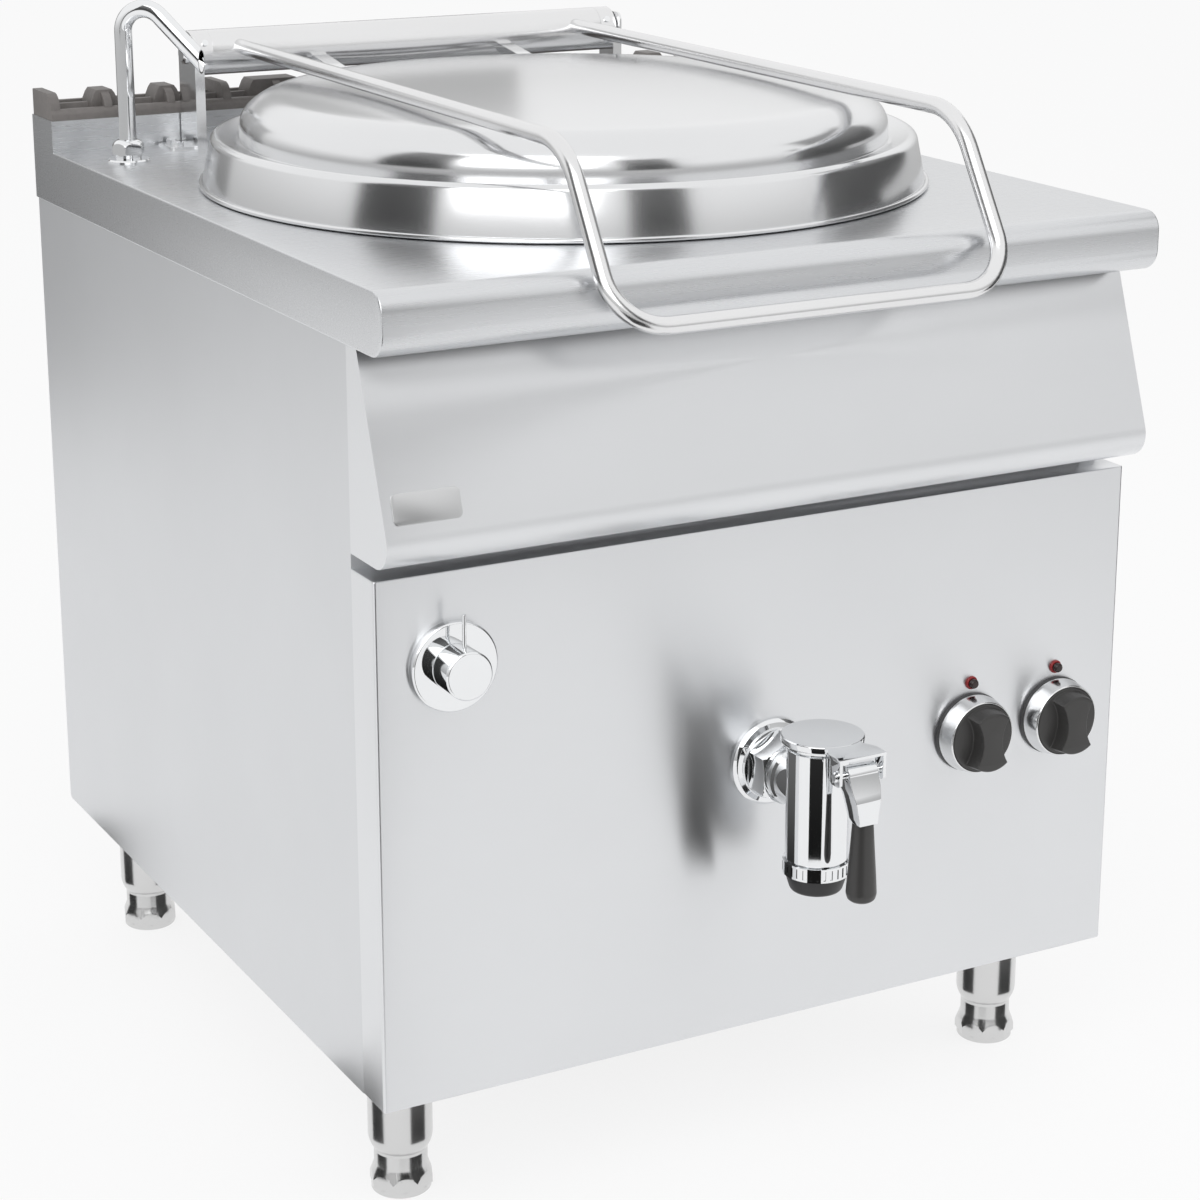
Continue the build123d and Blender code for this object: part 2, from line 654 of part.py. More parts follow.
def make_heater_flange():
    """Round flange that closes the jacket and carries the heaters, with its bolts."""
    flange = rod(82, (0, KETTLE_Y, JACKET_BOTTOM - 10), UP, 10)
    for index in range(8):
        angle = math.radians(index * 45 + 22.5)
        place = (72 * math.cos(angle), KETTLE_Y + 72 * math.sin(angle), JACKET_BOTTOM - 16)
        flange += hexagon(13, place, UP, 7)
    cover = turned_points(
        [(0, -70), (44, -70), (50, -64), (50, 0), (0, 0)], (0, KETTLE_Y)
    )
    return flange + Pos(0, 0, JACKET_BOTTOM - 10) * cover


def make_heater_unit():
    """Flanged heater unit of the steam generator."""
    return group([make_heater_flange()] + make_heating_elements())


def make_drain_pipe():
    """Drain from the vessel's lowest point, bent forward to the tap."""
    top = VESSEL_BOTTOM - VESSEL_WALL
    bend = 42.0
    return swept(
        [(0, KETTLE_Y, top), (0, KETTLE_Y, PIPE_Z), (0, FRONT - 38, PIPE_Z)], [bend], PIPE_R, PIPE_WALL
    )


# ---------------------------------------------------------------- lid
def lid_profile(inset, low):
    """Half section of the lid's outer surface, or of its inside when inset, as radius and height."""
    inner_r = LID_DOME_R - LID_CORNER_R
    corner = dished(LID_CORNER_R - inset, LID_KNUCKLE - inset, LID_CORNER_H - inset, LID_DOME_WALL_TOP, up=True)
    crown_low = LID_DOME_WALL_TOP + LID_CORNER_H - inset
    crown_top = crown_low + LID_CROWN
    groove = (LID_DOME_R - inset, LID_GROOVE_Z - inset)
    fillet_r = LID_SHOULDER_FILLET - inset
    shelf_end = (LID_SHOULDER_R - LID_SHOULDER_FILLET, LID_SHOULDER_Z - inset)
    side_top = (LID_SHOULDER_R - inset, LID_SHOULDER_Z - LID_SHOULDER_FILLET)
    bulge = fillet_r * math.sqrt(0.5)
    middle = (shelf_end[0] + bulge, side_top[1] + bulge)
    foot = (LID_SKIRT_R - inset, low)
    return [
        Line((0, low), (0, crown_top)),
        ThreePointArc((0, crown_top), (inner_r / 2, crown_top - LID_CROWN / 4), (inner_r, crown_low)),
        Pos(inner_r, 0) * corner[1],
        Pos(inner_r, 0) * corner[0],
        Line((LID_DOME_R - inset, LID_DOME_WALL_TOP), groove),
        Line(groove, (groove[0] + 4, groove[1])),
        Line((groove[0] + 4, groove[1]), shelf_end),
        ThreePointArc(shelf_end, middle, side_top),
        Line(side_top, foot),
        Line(foot, (0, low)),
    ]


def make_lid_shell():
    """Pressed lid: a shallow dome, a groove, a rounded shoulder and a flared skirt with a rolled edge."""
    centre = (0, KETTLE_Y)
    shell = turned(lid_profile(0, LID_LOW), centre) - turned(lid_profile(LID_SHEET, LID_LOW - 5), centre)
    outline = []
    for index in range(8):
        angle = math.radians(22.5 + 45 * index)
        outline.append(
            (LID_LIP_R - LID_BEAD_R + LID_BEAD_R * math.cos(angle), LID_LOW - 1 + LID_BEAD_R * math.sin(angle))
        )
    return shell + turned_points(outline, centre) + make_lid_collar()


def make_lid_collar():
    """Ring inside the lid that holds the gasket over the rim."""
    high = LID_GROOVE_Z - LID_SHEET
    wall = COLLAR_R - LID_SHEET
    outline = [
        (wall, high), (wall, GASKET_TOP + LID_SHEET), (COLLAR_R - COLLAR_FLANGE, GASKET_TOP + LID_SHEET),
        (COLLAR_R - COLLAR_FLANGE, GASKET_TOP), (COLLAR_R, GASKET_TOP), (COLLAR_R, high),
    ]
    return turned_points(outline, (0, KETTLE_Y))


def make_lid_gasket():
    """Silicone seal under the collar, just clear of the rim."""
    low = RIM_TOP + GAP
    inner = COLLAR_R - COLLAR_FLANGE
    outline = [
        (inner + 1, GASKET_TOP), (inner, low + 2), (inner + 1.5, low), (COLLAR_R - 1.5, low),
        (COLLAR_R, low + 2), (COLLAR_R - 1, GASKET_TOP),
    ]
    return turned_points(outline, (0, KETTLE_Y))


def make_lid_lugs():
    """Two flat straps that join the lid's dome to the hinge tube."""
    return mirrored(make_strap(LUG_X))


def make_strap(x):
    """Strap at a distance from the middle, cut to the dome and to the tube."""
    outline = [(424, 979), (424, 972), (352, 954), (336, 962), (350, 969), (408, 978)]
    strap = side_polygon(outline, x - LUG_WIDTH / 2, x + LUG_WIDTH / 2)
    strap -= turned(lid_profile(0, LID_LOW), (0, KETTLE_Y))
    strap -= rod(HINGE_R, (x - 30, HINGE_Y, HINGE_Z), RIGHT, 60)
    return strap.solids().sort_by(SortBy.VOLUME)[-1]


def make_hinge_tube():
    """Tube that houses the balance spring and carries lid and handle."""
    reach = HINGE_HALF - SLEEVE_LENGTH
    return ring(HINGE_R, HINGE_R - HINGE_WALL, (-reach, HINGE_Y, HINGE_Z), RIGHT, 2 * reach)


def make_hinge_sleeves():
    """Bearing sleeves that close the tube's ends and turn on the stub axles."""
    spigot = 12.0
    bore = HINGE_SHAFT_R + FIT
    outline = [
        (bore, 0), (HINGE_R - 1, 0), (HINGE_R, 1), (HINGE_R, SLEEVE_LENGTH),
        (HINGE_R - HINGE_WALL, SLEEVE_LENGTH), (HINGE_R - HINGE_WALL, SLEEVE_LENGTH + spigot),
        (bore, SLEEVE_LENGTH + spigot),
    ]
    sleeve = turned_along(outline, (HINGE_HALF, HINGE_Y, HINGE_Z), (-1, 0, 0))
    for screw in hinge_screws_of(1):
        sleeve -= screw
    return mirrored(sleeve)


def hinge_screws_of(side):
    """The two radial screws of one sleeve, seated half a millimetre deep."""
    screws = []
    for angle in (150, 210):
        direction = (0, math.cos(math.radians(angle)), math.sin(math.radians(angle)))
        seat = HINGE_R - 0.6
        start = (
            side * (HINGE_HALF - 0.6 * SLEEVE_LENGTH),
            HINGE_Y + seat * direction[1],
            HINGE_Z + seat * direction[2],
        )
        screws.append(rod(3.5, start, direction, 2.4))
    return screws


def make_hinge_screws():
    """Radial screws that lock the sleeves in the tube."""
    return group(hinge_screws_of(-1) + hinge_screws_of(1))


def make_handle():
    """One bent tube: two arms over the lid and a low bar in front of the worktop."""
    root = HINGE_Y - 8
    left = [
        (-HANDLE_X, root, HANDLE_ROOT_Z), (-HANDLE_X, *HANDLE_UPPER), (-HANDLE_X, *HANDLE_BAR),
    ]
    right = [(-x, y, z) for x, y, z in reversed(left)]
    bent = swept(left + right, [70, 50, 50, 70], HANDLE_TUBE_R)
    return bent - rod(HINGE_R, (-HANDLE_X - 30, HINGE_Y, HINGE_Z), RIGHT, 2 * HANDLE_X + 60)


def make_hinge_bracket():
    """Upright plate with a front strip and a foot flange, bored for the stub axle."""
    x0 = BRACKET_INNER
    x1 = x0 + BRACKET_SHEET
    plate = box(x0, x1, 405.5, FLUE_FRONT - 0.5, WORKTOP, 1005)
    tops = plate.edges().filter_by(Axis.X).group_by(Axis.Z)[-1]
    plate = fillet(tops[0], 8)
    strip = box(x0 - 8, x0, 405.5, 408.1, WORKTOP, 978)
    foot = box(x1, x1 + 28, 411, FLUE_FRONT - 0.5, WORKTOP, WORKTOP + BRACKET_SHEET)
    bracket = plate + strip + fillet(foot.edges().filter_by(Axis.Z).group_by(Axis.X)[-1], 5)
    bracket -= rod(HINGE_SHAFT_R, (x0 - 5, HINGE_Y, HINGE_Z), RIGHT, 20)
    return bracket


def make_hinge_bolts():
    """Hexagon bolts that hold the brackets' feet to the worktop."""
    top = WORKTOP + BRACKET_SHEET
    bolts = [chamfered_hexagon(10, (BRACKET_INNER + 18, y, top), UP, 4.5) for y in (422.0, 444.0)]
    return group(bolts + [mirror(bolt, about=Plane.YZ) for bolt in bolts])


def make_hinge_axles():
    """Stub axles fixed in the brackets, with a domed head outside."""
    reach = 32.0
    head = BRACKET_INNER + BRACKET_SHEET
    outline = [(0, 0), (HINGE_SHAFT_R, 0), (HINGE_SHAFT_R, head - (BRACKET_INNER - reach)),
               (11, head - (BRACKET_INNER - reach)), (11, head - (BRACKET_INNER - reach) + 2.5),
               (8, head - (BRACKET_INNER - reach) + 4.5), (0, head - (BRACKET_INNER - reach) + 4.5)]
    return mirrored(turned_along(outline, (BRACKET_INNER - reach, HINGE_Y, HINGE_Z), RIGHT))


# ---------------------------------------------------------------- drain tap
def make_tap_flange():
    """Stepped wall flange behind the tap."""
    outline = [(PIPE_R, 0), (42, 0), (42, 3), (39, 6), (34, 7), (34, 10), (PIPE_R, 10)]
    return turned_along(outline, (0, FRONT, PIPE_Z), FORWARD)


def make_tap_nut():
    """Union nut."""
    nut = chamfered_hexagon(60, (0, FRONT - 10, PIPE_Z), FORWARD, 28)
    return nut - rod(PIPE_R, (0, FRONT - 5, PIPE_Z), FORWARD, 40)


def make_tap_body():
    """Tap body: a vertical cylinder with a seat, a side inlet and a gland for the stem."""
    height = TAP_BODY_TOP - TAP_RING_TOP
    body = rod(TAP_BODY_R, (0, TAP_Y, TAP_RING_TOP), UP, height)
    body = chamfer(body.edges().group_by(Axis.Z)[0], 1.5)
    neck = [(0, 0), (27.5, 0), (28.5, 3), (28.5, 8), (26.5, 11), (26.5, 44), (0, 44)]
    body += turned_along(neck, (0, FRONT - 38, PIPE_Z), FORWARD)
    body -= rod(TAP_THROAT_R, (0, TAP_Y, TAP_RING_TOP - 5), UP, TAP_SEAT_Z - TAP_RING_TOP + 6)
    body -= rod(TAP_BORE_R, (0, TAP_Y, TAP_SEAT_Z), UP, TAP_BODY_TOP - 8 - TAP_SEAT_Z)
    body -= rod(STEM_R + FIT, (0, TAP_Y, TAP_SEAT_Z), UP, 100)
    body -= rod(TAP_THROAT_R, (0, TAP_Y, PIPE_Z), BACKWARD, 80)
    return body


def make_tap_ring():
    """Knurled ring that holds the nozzle."""
    height = TAP_RING_TOP - TAP_RING_BOTTOM
    collar = ring(31, TAP_THROAT_R, (0, TAP_Y, TAP_RING_BOTTOM), UP, height)
    notch = box(30.2, 33, -1.1, 1.1, TAP_RING_BOTTOM + 2, TAP_RING_TOP - 2)
    for index in range(30):
        collar -= Pos(0, TAP_Y, 0) * Rot(0, 0, index * 12) * notch
    return collar


def make_tap_nozzle():
    """Outlet nozzle."""
    outline = [
        (TAP_OUTLET_R, TAP_NOZZLE_END), (23, TAP_NOZZLE_END), (24.5, TAP_NOZZLE_END + 2),
        (29, TAP_RING_BOTTOM), (TAP_OUTLET_R, TAP_RING_BOTTOM),
    ]
    return turned_points(outline, (0, TAP_Y))


def make_tap_cap():
    """Cap: a turned bonnet, a round plate with a thick rim and a forked tongue for the lever pin."""
    top = TAP_CAP_TOP
    rim_low = top - TAP_CAP_RIM
    bonnet = [(0, TAP_BODY_TOP), (27, TAP_BODY_TOP), (29, TAP_BODY_TOP + 2), (29, rim_low + 2), (0, rim_low + 2)]
    plate = chamfer(Cylinder(TAP_CAP_R, TAP_CAP_RIM, align=CENTRED).edges().filter_by(GeomType.CIRCLE), 1)
    cap = turned_points(bonnet, (0, TAP_Y)) + Pos(0, TAP_CAP_Y, rim_low) * plate
    tongue_top = top - 0.3
    low = tongue_top - TAP_CAP_SHEET
    tongue = [(-19, -455), (-19, -475), (-TAP_EAR_X, -486), (-TAP_EAR_X, -503.2)]
    tongue += [(-x, y) for x, y in reversed(tongue)]
    cap += Pos(0, 0, low) * extrude(make_face(Polyline(*tongue, close=True)), TAP_CAP_SHEET)
    outline = [
        (-487.2, low + 1), (-487.6, 432), (-490, 430.2), (-500.5, 430.2), (-503, 432), (-503, low + 1),
    ]
    outer = TAP_EAR_X - 0.2
    ear = side_polygon(outline, outer - TAP_CAP_SHEET, outer)
    cap += ear
    cap += mirror(ear, about=Plane.YZ)
    cap -= rod(STEM_R + FIT + 2, (0, TAP_Y, TAP_BODY_TOP - 1), UP, 13)
    for side in (-1, 1):
        cap -= rod(LEVER_PIN_R, (side * 22 - 5, TAP_PIVOT_Y, TAP_PIVOT_Z), RIGHT, 10)
    return cap


def make_lever_pin():
    """Headed pin through both ears of the cap."""
    pin = rod(LEVER_PIN_R, (-TAP_EAR_X, TAP_PIVOT_Y, TAP_PIVOT_Z), RIGHT, 2 * TAP_EAR_X)
    head = [(0, 0), (4.8, 0), (4.8, 1), (3.4, 2.2), (0, 2.2)]
    pin += turned_along(head, (-TAP_EAR_X, TAP_PIVOT_Y, TAP_PIVOT_Z), (-1, 0, 0))
    return pin + turned_along(head, (TAP_EAR_X, TAP_PIVOT_Y, TAP_PIVOT_Z), RIGHT)


def make_tap_lever():
    """Cast lever head, shaped like a shield, that narrows to the socket of the grip."""
    y, z = TAP_PIVOT_Y, TAP_PIVOT_Z
    boss = 8.5
    socket = 9.5
    side = side_profile(
        [
            ThreePointArc((y - boss, z), (y, z + boss), (y + boss, z)),
            Line((y + boss, z), (GRIP_Y + socket, GRIP_TOP)),
            Line((GRIP_Y + socket, GRIP_TOP), (GRIP_Y - socket, GRIP_TOP)),
            Line((GRIP_Y - socket, GRIP_TOP), (GRIP_Y - boss, z - 22)),
            Line((GRIP_Y - boss, z - 22), (y - boss, z)),
        ],
        -LEVER_HALF,
        LEVER_HALF,
    )
    shield = [
        Line((-LEVER_HALF, z + 20), (LEVER_HALF, z + 20)),
        Line((LEVER_HALF, z + 20), (LEVER_HALF, z - 12)),
        ThreePointArc((LEVER_HALF, z - 12), (LEVER_HALF - 3.2, z - 29), (socket, GRIP_TOP)),
        Line((socket, GRIP_TOP), (-socket, GRIP_TOP)),
        ThreePointArc((-socket, GRIP_TOP), (3.2 - LEVER_HALF, z - 29), (-LEVER_HALF, z - 12)),
        Line((-LEVER_HALF, z - 12), (-LEVER_HALF, z + 20)),
    ]
    lever = side & extrude(make_face(Plane.XZ * (Curve() + shield)), 600, dir=FORWARD)
    return lever - rod(LEVER_PIN_R + FIT, (-30, y, z), RIGHT, 60)


def make_lever_grip():
    """Plastic grip that swells towards a rounded end."""
    outline = [
        (0, GRIP_TOP), (9.5, GRIP_TOP), (11.0, 372), (13.0, 344), (13.9, 328), (12.6, 323), (9.6, 320.6),
        (5, GRIP_BOTTOM), (0, GRIP_BOTTOM),
    ]
    return turned_points(outline, (0, GRIP_Y))


def make_tap_piston():
    """Stem and plug that close the seat."""
    low = TAP_SEAT_Z + GAP
    outline = [
        (0, low), (PISTON_R - 3, low), (PISTON_R, low + 3), (PISTON_R, low + 15), (STEM_R, low + 18),
        (STEM_R, TAP_BODY_TOP - 0.5), (0, TAP_BODY_TOP - 0.5),
    ]
    return turned_points(outline, (0, TAP_Y))


# ---------------------------------------------------------------- water inlet
def make_spout_base():
    """Flat rose and union nut that hold the swivelling spout."""
    base = [
        (7.5, WORKTOP), (22.5, WORKTOP), (22.5, WORKTOP + 1.5), (21, WORKTOP + 3), (13.25, WORKTOP + 3),
        (13.25, WORKTOP + 8), (SPOUT_R + FIT, WORKTOP + 8), (SPOUT_R + FIT, WORKTOP + 2), (7.5, WORKTOP + 2),
    ]
    return group([turned_points(base, (SPOUT_X, SPOUT_Y)), make_spout_nut()])


def make_spout_nut():
    """Hexagon nut with a domed top."""
    low = WORKTOP + 8
    nut = Pos(SPOUT_X, SPOUT_Y, 0) * hexagon(30, (0, 0, low), UP, 14.5)
    dome = [
        Line((0, low), (16.5, low)),
        Line((16.5, low), (17.4, low + 1.2)),
        Line((17.4, low + 1.2), (17.4, low + 8)),
        ThreePointArc((17.4, low + 8), (14.5, low + 12), (10.5, low + 14.5)),
        Line((10.5, low + 14.5), (0, low + 14.5)),
        Line((0, low + 14.5), (0, low)),
    ]
    nut = nut & turned(dome, (SPOUT_X, SPOUT_Y))
    return nut - rod(SPOUT_R + FIT, (SPOUT_X, SPOUT_Y, low - 5), UP, 40)


def make_spout():
    """Swan-neck tube: a straight riser, a half-turn bend and a slanting outlet cut upright."""
    turn = math.radians(SPOUT_TURN)
    reach = SPOUT_BEND_R * (1 - math.cos(turn))
    slope = math.tan(turn - math.pi / 2)
    crown = SPOUT_BEND_Z + SPOUT_BEND_R * math.sin(turn)
    far = SPOUT_REACH + 15
    end = (far, crown - (far - reach) * slope)
    bottom = (0, WORKTOP + 2 + GAP)
    middle = turn / 2
    path = Curve() + [
        Line(bottom, (0, SPOUT_BEND_Z)),
        ThreePointArc(
            (0, SPOUT_BEND_Z),
            (SPOUT_BEND_R * (1 - math.cos(middle)), SPOUT_BEND_Z + SPOUT_BEND_R * math.sin(middle)),
            (reach, crown),
        ),
        Line((reach, crown), end),
    ]
    path = Plane.XZ * path
    section = Plane(origin=(0, 0, bottom[1]), z_dir=UP)
    wire = Wire(path.edges())
    tube = sweep(section * Circle(SPOUT_R), path=wire)
    tube -= sweep(section * Circle(SPOUT_R - SPOUT_WALL), path=wire)
    tube -= box(SPOUT_REACH, SPOUT_REACH + 60, -30, 30, SPOUT_BEND_Z - 90, SPOUT_BEND_Z + 60)
    heading = math.degrees(math.atan2(SPOUT_AIM[1], SPOUT_AIM[0]))
    return Pos(SPOUT_X, SPOUT_Y, 0) * Rot(0, 0, heading) * tube


def make_water_escutcheon():
    """Round cover plate of the filling valve."""
    outline = [(4 + FIT, 0), (41, 0), (41, 6.5), (39.5, 8), (4 + FIT, 8)]
    return turned_along(outline, (WATER_X, FRONT, WATER_Z), FORWARD)


def make_water_knob():
    """Cylindrical knob with a pin lever and its spindle."""
    outline = [(0, -30), (4, -30), (4, 8 + GAP), (21.5, 8 + GAP), (22, 9), (22, 34.5), (20.5, 36), (0, 36)]
    knob = turned_along(outline, (WATER_X, FRONT, WATER_Z), FORWARD)
    return knob + rod(1.75, (WATER_X, FRONT - 25, WATER_Z + 15), UP, 38)


def make_water_valve():
    """Valve body behind the panel with its inlet manifold."""
    start = FRONT + SHEET
    body = rod(18, (WATER_X, start, WATER_Z), BACKWARD, 88)
    body += rod(11, (WATER_X, WATER_PIPES_Y, WATER_Z), RIGHT, INLETS_X[1] - WATER_X + 12)
    body += rod(9, (WATER_X, WATER_PIPES_Y, WATER_Z), UP, 30)
    for x in INLETS_X:
        body += rod(8, (x, WATER_PIPES_Y, WATER_Z), DOWN, 16)
    return body - rod(4 + FIT, (WATER_X, start - 1, WATER_Z), BACKWARD, 32)


def make_water_pipes():
    """Two supplies from the cabinet floor and the filling pipe up to the spout."""
    pipe_r = 6.0
    run_z = 205.0
    high = WORKTOP - 25
    pipes = []
    for x in INLETS_X:
        route = [
            (x, ENTRY_Y, LEG_HEIGHT + SHEET + 12), (x, ENTRY_Y, run_z), (x, WATER_PIPES_Y, run_z),
            (x, WATER_PIPES_Y, WATER_Z - 16),
        ]
        pipes.append(swept(route, [30, 30], pipe_r))
    riser = [
        (WATER_X, WATER_PIPES_Y, WATER_Z + 30), (WATER_X, WATER_PIPES_Y, high), (SPOUT_X, SPOUT_Y, high),
        (SPOUT_X, SPOUT_Y, WORKTOP - TOP_SHEET),
    ]
    pipes.append(swept(riser, [20, 15], pipe_r))
    return group(pipes)


def make_inlet_fittings():
    """Two male threaded water connections under the cabinet floor, with their nuts above it."""
    fittings = []
    low = LEG_HEIGHT - INLET_NECK - INLET_LENGTH
    for x in INLETS_X:
        stub = rod(INLET_R, (x, ENTRY_Y, low), UP, INLET_LENGTH)
        neck = rod(INLET_NECK_R, (x, ENTRY_Y, low + INLET_LENGTH), UP, INLET_NECK + SHEET)
        nut = hexagon(30, (x, ENTRY_Y, LEG_HEIGHT + SHEET), UP, 12)
        fittings.append(stub + neck + nut)
    return group(fittings)


def make_cable_gland():
    """Cable entry under the cabinet floor."""
    gland = rod(GLAND_R, (GLAND_X, ENTRY_Y, LEG_HEIGHT - 4), UP, 12)
    gland += chamfered_hexagon(30, (GLAND_X, ENTRY_Y, LEG_HEIGHT - 16), UP, 16)
    gland += hexagon(30, (GLAND_X, ENTRY_Y, LEG_HEIGHT + SHEET), UP, 5)
    return gland - rod(GLAND_BORE_R, (GLAND_X, ENTRY_Y, LEG_HEIGHT - 20), UP, 40)


# ---------------------------------------------------------------- controls
def make_knob_rings():
    """Dark base rings under the knob bezels."""
    return group([ring(39, 34.3, (x, FRONT, KNOB_Z), FORWARD, 4) for x in KNOBS_X])


def make_knob_bezels():
    """Tapered steel rings round the knobs."""
    outline = [(34.3, 0), (38.4, 0), (38.4, 4), (35.6, 17), (34.8, 18), (34.3, 18)]
    return group([turned_along(outline, (x, FRONT - 4, KNOB_Z), FORWARD) for x in KNOBS_X])


def make_knob(x):
    """Round knob with a scooped grip bar across its face and its shaft."""
    disc = turned_along(
        [(0, 10), (34, 10), (34, 21.5), (33, 23), (0, 23)], (x, FRONT, KNOB_Z), FORWARD
    )
    bar = turned_along([(0, 22), (31, 22), (29, 39), (27.5, 40), (0, 40)], (x, FRONT, KNOB_Z), FORWARD)
    for side in (-1, 1):
        bar -= rod(40, (x + side * 51, FRONT - 22, KNOB_Z), FORWARD, 30)
    return disc + bar + rod(3, (x, FRONT - 12, KNOB_Z), BACKWARD, 32)


def make_pilot_lamps():
    """Round indicator lamps above the knobs."""
    outline = [(0, -22), (4.5, -22), (4.5, 0), (6.5, 0), (6.5, 1.5), (5.2, 2.2), (5.2, 6), (3.5, 7.6), (0, 8)]
    return group([turned_along(outline, (x, FRONT, PILOT_Z), FORWARD) for x in KNOBS_X])


def make_switch_body(x, width, height, depth):
    """Rotary switch or thermostat body behind the panel, bored for the knob's shaft."""
    start = FRONT + SHEET
    body = box(x - width / 2, x + width / 2, start + 4, start + depth, KNOB_Z - height / 2, KNOB_Z + height / 2)
    body = fillet(body.edges().filter_by(Axis.Y), 4)
    body += rod(9.5, (x, start, KNOB_Z), BACKWARD, 6)
    for side in (-1, 1):
        body += box(x + side * width / 4 - 3, x + side * width / 4 + 3, start + depth, start + depth + 8,
                    KNOB_Z - 10, KNOB_Z + 10)
    return body - rod(3 + FIT, (x, start - 1, KNOB_Z), BACKWARD, 24)


def make_control_bracket():
    """Folded tray for the electrical parts, standing on the front base rail."""
    low = LEG_HEIGHT + SHEET + RAIL_H
    tray = box(150, 340, SEAM + 6, SEAM + 6 + 60, low, low + SHEET)
    return tray + box(150, 340, SEAM + 64.5, SEAM + 66, low, low + 120)


def make_contactors():
    """Two contactors on the tray's wall."""
    low = LEG_HEIGHT + SHEET + RAIL_H + 40
    face = SEAM + 64.5
    blocks = []
    for x in (170, 225):
        block = box(x, x + 45, face - 50, face, low, low + 70)
        block -= box(x - 1, x + 46, face - 51, face - 38, low + 50, low + 71)
        block -= box(x - 1, x + 46, face - 51, face - 38, low - 1, low + 20)
        blocks.append(block)
    return group(blocks)


def make_terminal_block():
    """Mains terminals."""
    low = LEG_HEIGHT + SHEET + RAIL_H + 40
    face = SEAM + 64.5
    block = box(280, 335, face - 28, face, low, low + 36)
    for index in range(5):
        block -= rod(3.5, (285.5 + index * 11, face - 30, low + 18), BACKWARD, 14)
    return block


def make_safety_thermostat():
    """Limit thermostat with its reset button, on the tray's wall."""
    low = LEG_HEIGHT + SHEET + RAIL_H + 85
    face = SEAM + 64.5
    body = box(285, 330, face - 24, face, low, low + 28)
    return body + rod(6, (307, face - 24, low + 14), FORWARD, 10)


# ---------------------------------------------------------------- assembly
parts["frame"] = make_frame()
parts["side_panel_left"] = make_side_panel(-1)
parts["side_panel_right"] = make_side_panel(1)
parts["rear_panel"] = make_rear_panel()
parts["bottom_panel"] = make_bottom_panel()
parts["front_panel"] = make_front_panel()
parts["control_fascia"] = make_control_fascia()
parts["badge_plate"] = make_badge_plate()
parts["worktop"] = make_worktop()
parts["flue_grille"] = make_flue_grille()
parts["leg_sleeves"] = make_leg_sleeves()
for row, foot_y in zip(("front", "rear"), FEET_Y):
    for side_name, sign in (("left", -1), ("right", 1)):
        parts[f"foot_{row}_{side_name}"] = make_foot(sign * FOOT_X, foot_y)

parts["vessel"] = make_vessel()
parts["steam_jacket"] = make_steam_jacket()
parts["insulation"] = make_insulation()
parts["jacket_fittings"] = group(
    [make_jacket_fitting("valve", 13, 48), make_jacket_fitting("switch", 18, 36)]
)
parts["heater_unit"] = make_heater_unit()
parts["drain_pipe"] = make_drain_pipe()

parts["lid_shell"] = make_lid_shell()
parts["lid_gasket"] = make_lid_gasket()
parts["lid_lugs"] = make_lid_lugs()
parts["hinge_tube"] = make_hinge_tube()
parts["hinge_sleeves"] = make_hinge_sleeves()
parts["hinge_screws"] = make_hinge_screws()
parts["handle"] = make_handle()
parts["hinge_brackets"] = mirrored(make_hinge_bracket())
parts["hinge_bracket_bolts"] = make_hinge_bolts()
parts["hinge_axles"] = make_hinge_axles()

parts["tap_flange"] = make_tap_flange()
parts["tap_nut"] = make_tap_nut()
parts["tap_body"] = make_tap_body()
parts["tap_ring"] = make_tap_ring()
parts["tap_nozzle"] = make_tap_nozzle()
parts["tap_cap"] = make_tap_cap()
parts["lever_pin"] = make_lever_pin()
parts["tap_lever"] = make_tap_lever()
parts["lever_grip"] = make_lever_grip()
parts["tap_piston"] = make_tap_piston()

parts["spout_base"] = make_spout_base()
parts["spout"] = make_spout()
parts["water_escutcheon"] = make_water_escutcheon()
parts["water_knob"] = make_water_knob()
parts["water_valve"] = make_water_valve()
parts["water_pipes"] = make_water_pipes()
parts["inlet_fittings"] = make_inlet_fittings()
parts["cable_gland"] = make_cable_gland()

parts["knob_rings"] = make_knob_rings()
parts["knob_bezels"] = make_knob_bezels()
parts["knob_power"] = make_knob(KNOBS_X[0])
parts["knob_thermostat"] = make_knob(KNOBS_X[1])
parts["pilot_lamps"] = make_pilot_lamps()
parts["power_switch"] = make_switch_body(KNOBS_X[0], 48, 48, 44)
parts["thermostat"] = make_switch_body(KNOBS_X[1], 44, 56, 34)
parts["control_bracket"] = make_control_bracket()
parts["contactors"] = make_contactors()
parts["terminal_block"] = make_terminal_block()
parts["safety_thermostat"] = make_safety_thermostat()

os.makedirs("parts", exist_ok=True)
for name, shape in parts.items():
    export_step(shape, f"parts/{name}.step")
print(len(parts), "nodes")
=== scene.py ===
"""Looks of the steam jacketed kettle: materials, finely modelled fittings, studio light and camera.

Units are metres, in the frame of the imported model: +Z up, the front faces -Y.
"""
import json
import math

import bmesh
import bpy
import numpy as np
from mathutils import Matrix, Vector


